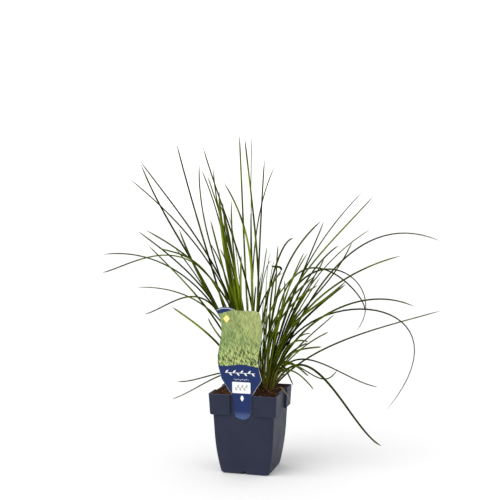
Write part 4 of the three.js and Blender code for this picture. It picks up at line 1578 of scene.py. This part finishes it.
def make_clip(material):
    """The clip behind the card goes over the rim and down inside the wall."""
    over = POT_HEIGHT + CLEARANCE
    foot = over - CLIP_DEPTH

    def inside(up, out):
        return -(body_half_at(up) - WALL - CLEARANCE) + out

    outline = [
        (label_back(over + CLIP_ROOT) - CLIP_BITE, over + CLIP_ROOT),
        (label_back(over) - CLIP_BITE, over),
        (inside(over, 0), over),
        (inside(foot, 0), foot),
        (inside(foot, LABEL_THICKNESS), foot),
        (inside(over + CLIP_ARCH, LABEL_THICKNESS), over + CLIP_ARCH),
    ]
    rings = [[(x, y, z) for y, z in outline] for x in (-CLIP_HALF, CLIP_HALF)]
    clip = loft("label_clip", rings)
    soften_edges(clip, CLIP_BEVEL, CLIP_BEVEL_ANGLE)
    smooth_by_angle(clip, LABEL_CREASE)
    clip.data.materials.append(material)
    return clip


# Stage


def make_floor(material):
    corners = ((-1, -1), (1, -1), (1, 1), (-1, 1))
    points = [(x * FLOOR_REACH, y * FLOOR_REACH, 0) for x, y in corners]
    floor = new_piece("floor", points, [(0, 1, 2, 3)])
    floor.data.materials.append(material)


def make_world():
    """Bright near the horizon and softer overhead."""
    world = bpy.data.worlds.new("studio")
    world.use_nodes = True
    tree = world.node_tree
    tree.nodes.clear()
    ray = node(tree, "ShaderNodeTexCoord").outputs["Generated"]
    up = Value(tree, node(tree, "ShaderNodeSeparateXYZ", {0: ray}).outputs[2])
    shade = mixed(tree, up.rise(*SKY_FADE), SKY_WHITE, SKY_OVERHEAD)
    sky = node(tree, "ShaderNodeBackground", {"Color": shade, "Strength": SKY_STRENGTH})
    out = node(tree, "ShaderNodeOutputWorld")
    tree.links.new(sky.outputs[0], out.inputs[0])
    bpy.context.scene.world = world


def make_sun(name, azimuth, elevation, energy, softness):
    lamp = bpy.data.lights.new(name, "SUN")
    lamp.energy = energy
    lamp.angle = math.radians(softness)
    piece = new_object(name, lamp)
    piece.rotation_mode = "QUATERNION"
    piece.rotation_quaternion = view_direction(azimuth, elevation).to_track_quat("Z", "Y")


def view_direction(azimuth, elevation):
    """From the object toward a viewer; azimuth 0 stands in front and 90 at the right."""
    turn = math.radians(azimuth)
    lift = math.radians(elevation)
    return Vector((math.sin(turn) * math.cos(lift), -math.cos(turn) * math.cos(lift), math.sin(lift)))


def make_camera():
    data = bpy.data.cameras.new("camera")
    data.sensor_width = SENSOR_WIDTH
    data.lens = CAMERA_LENS
    camera = new_object("camera", data)
    back = view_direction(CAMERA_AZIMUTH, CAMERA_ELEVATION)
    right = Vector((0, 0, 1)).cross(back).normalized()
    aim = Vector((0, 0, CAMERA_AIM_HEIGHT)) + right * CAMERA_AIM_ACROSS
    camera.rotation_mode = "QUATERNION"
    camera.rotation_quaternion = back.to_track_quat("Z", "Y")
    camera.location = (aim + back * CAMERA_DISTANCE) * MM
    bpy.context.scene.camera = camera


# The whole

make_camera()
make_world()
for name, light in LIGHTS.items():
    make_sun(name, *light)
make_floor(floor_material())
bpy.context.scene.view_settings.view_transform = "Standard"

leaf = leaf_material()
straw = straw_material("dry_straw", STRAW_PALE, STRAW_BROWN)
sheath = straw_material("leaf_sheath", SHEATH_OLIVE, SHEATH_BROWN)
compost = compost_material("compost", by_piece=False)
crumb = compost_material("compost_crumb", by_piece=True)


def keep(piece, slot, *nodes):
    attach(piece, "root")
    if nodes:
        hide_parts(*nodes)


keep(make_pot(plastic_material()), "pot", "pot")
card_back = card_back_material()
keep(make_card(card_material(), card_back), "label", "label")
keep(make_clip(card_back), "label", "label")

keep(make_blades("upright_leaves", bunch_guides(UPRIGHT), leaf), "leaf", "tuft_upright")
keep(make_blades("leaning_leaves", bunch_guides(LEANING), leaf), "leaf", "tuft_leaning")
keep(make_blades("upright_sheaths", sheath_guides(UPRIGHT), sheath), "dry_leaf")
keep(make_blades("leaning_sheaths", sheath_guides(LEANING), sheath), "dry_leaf")
for name, (points, width) in DRY_LEAVES.items():
    dry = {"points": points, "width": width, "roll": LEAF_TURN, "twist": DRY_LEAF_TWIST}
    dry_guide = guide(dry, Vector, DRY_LEAF_STEPS, DRY_LEAF_TINT)
    keep(make_blades("straw_" + name, [dry_guide], straw), "dry_leaf", name)

wisps = [{"points": points, "width": WISP_WIDTH, "roll": LEAF_TURN, "twist": 0} for points in WISPS]
wisp_guides = [guide(wisp, Vector, WISP_STEPS, WISP_TINT) for wisp in wisps]
keep(make_blades("straw_wisps", wisp_guides, straw), "dry_leaf")

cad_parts["compost"].data.materials[0] = compost
crowns = [
    (tuple(fan_point(bunch["across"], bunch["toward"], 0).xy), CROWN_SHARE * bunch["radius"])
    for bunch in (UPRIGHT, LEANING)
]
keep(make_crumbs(crumb, crowns), "compost")
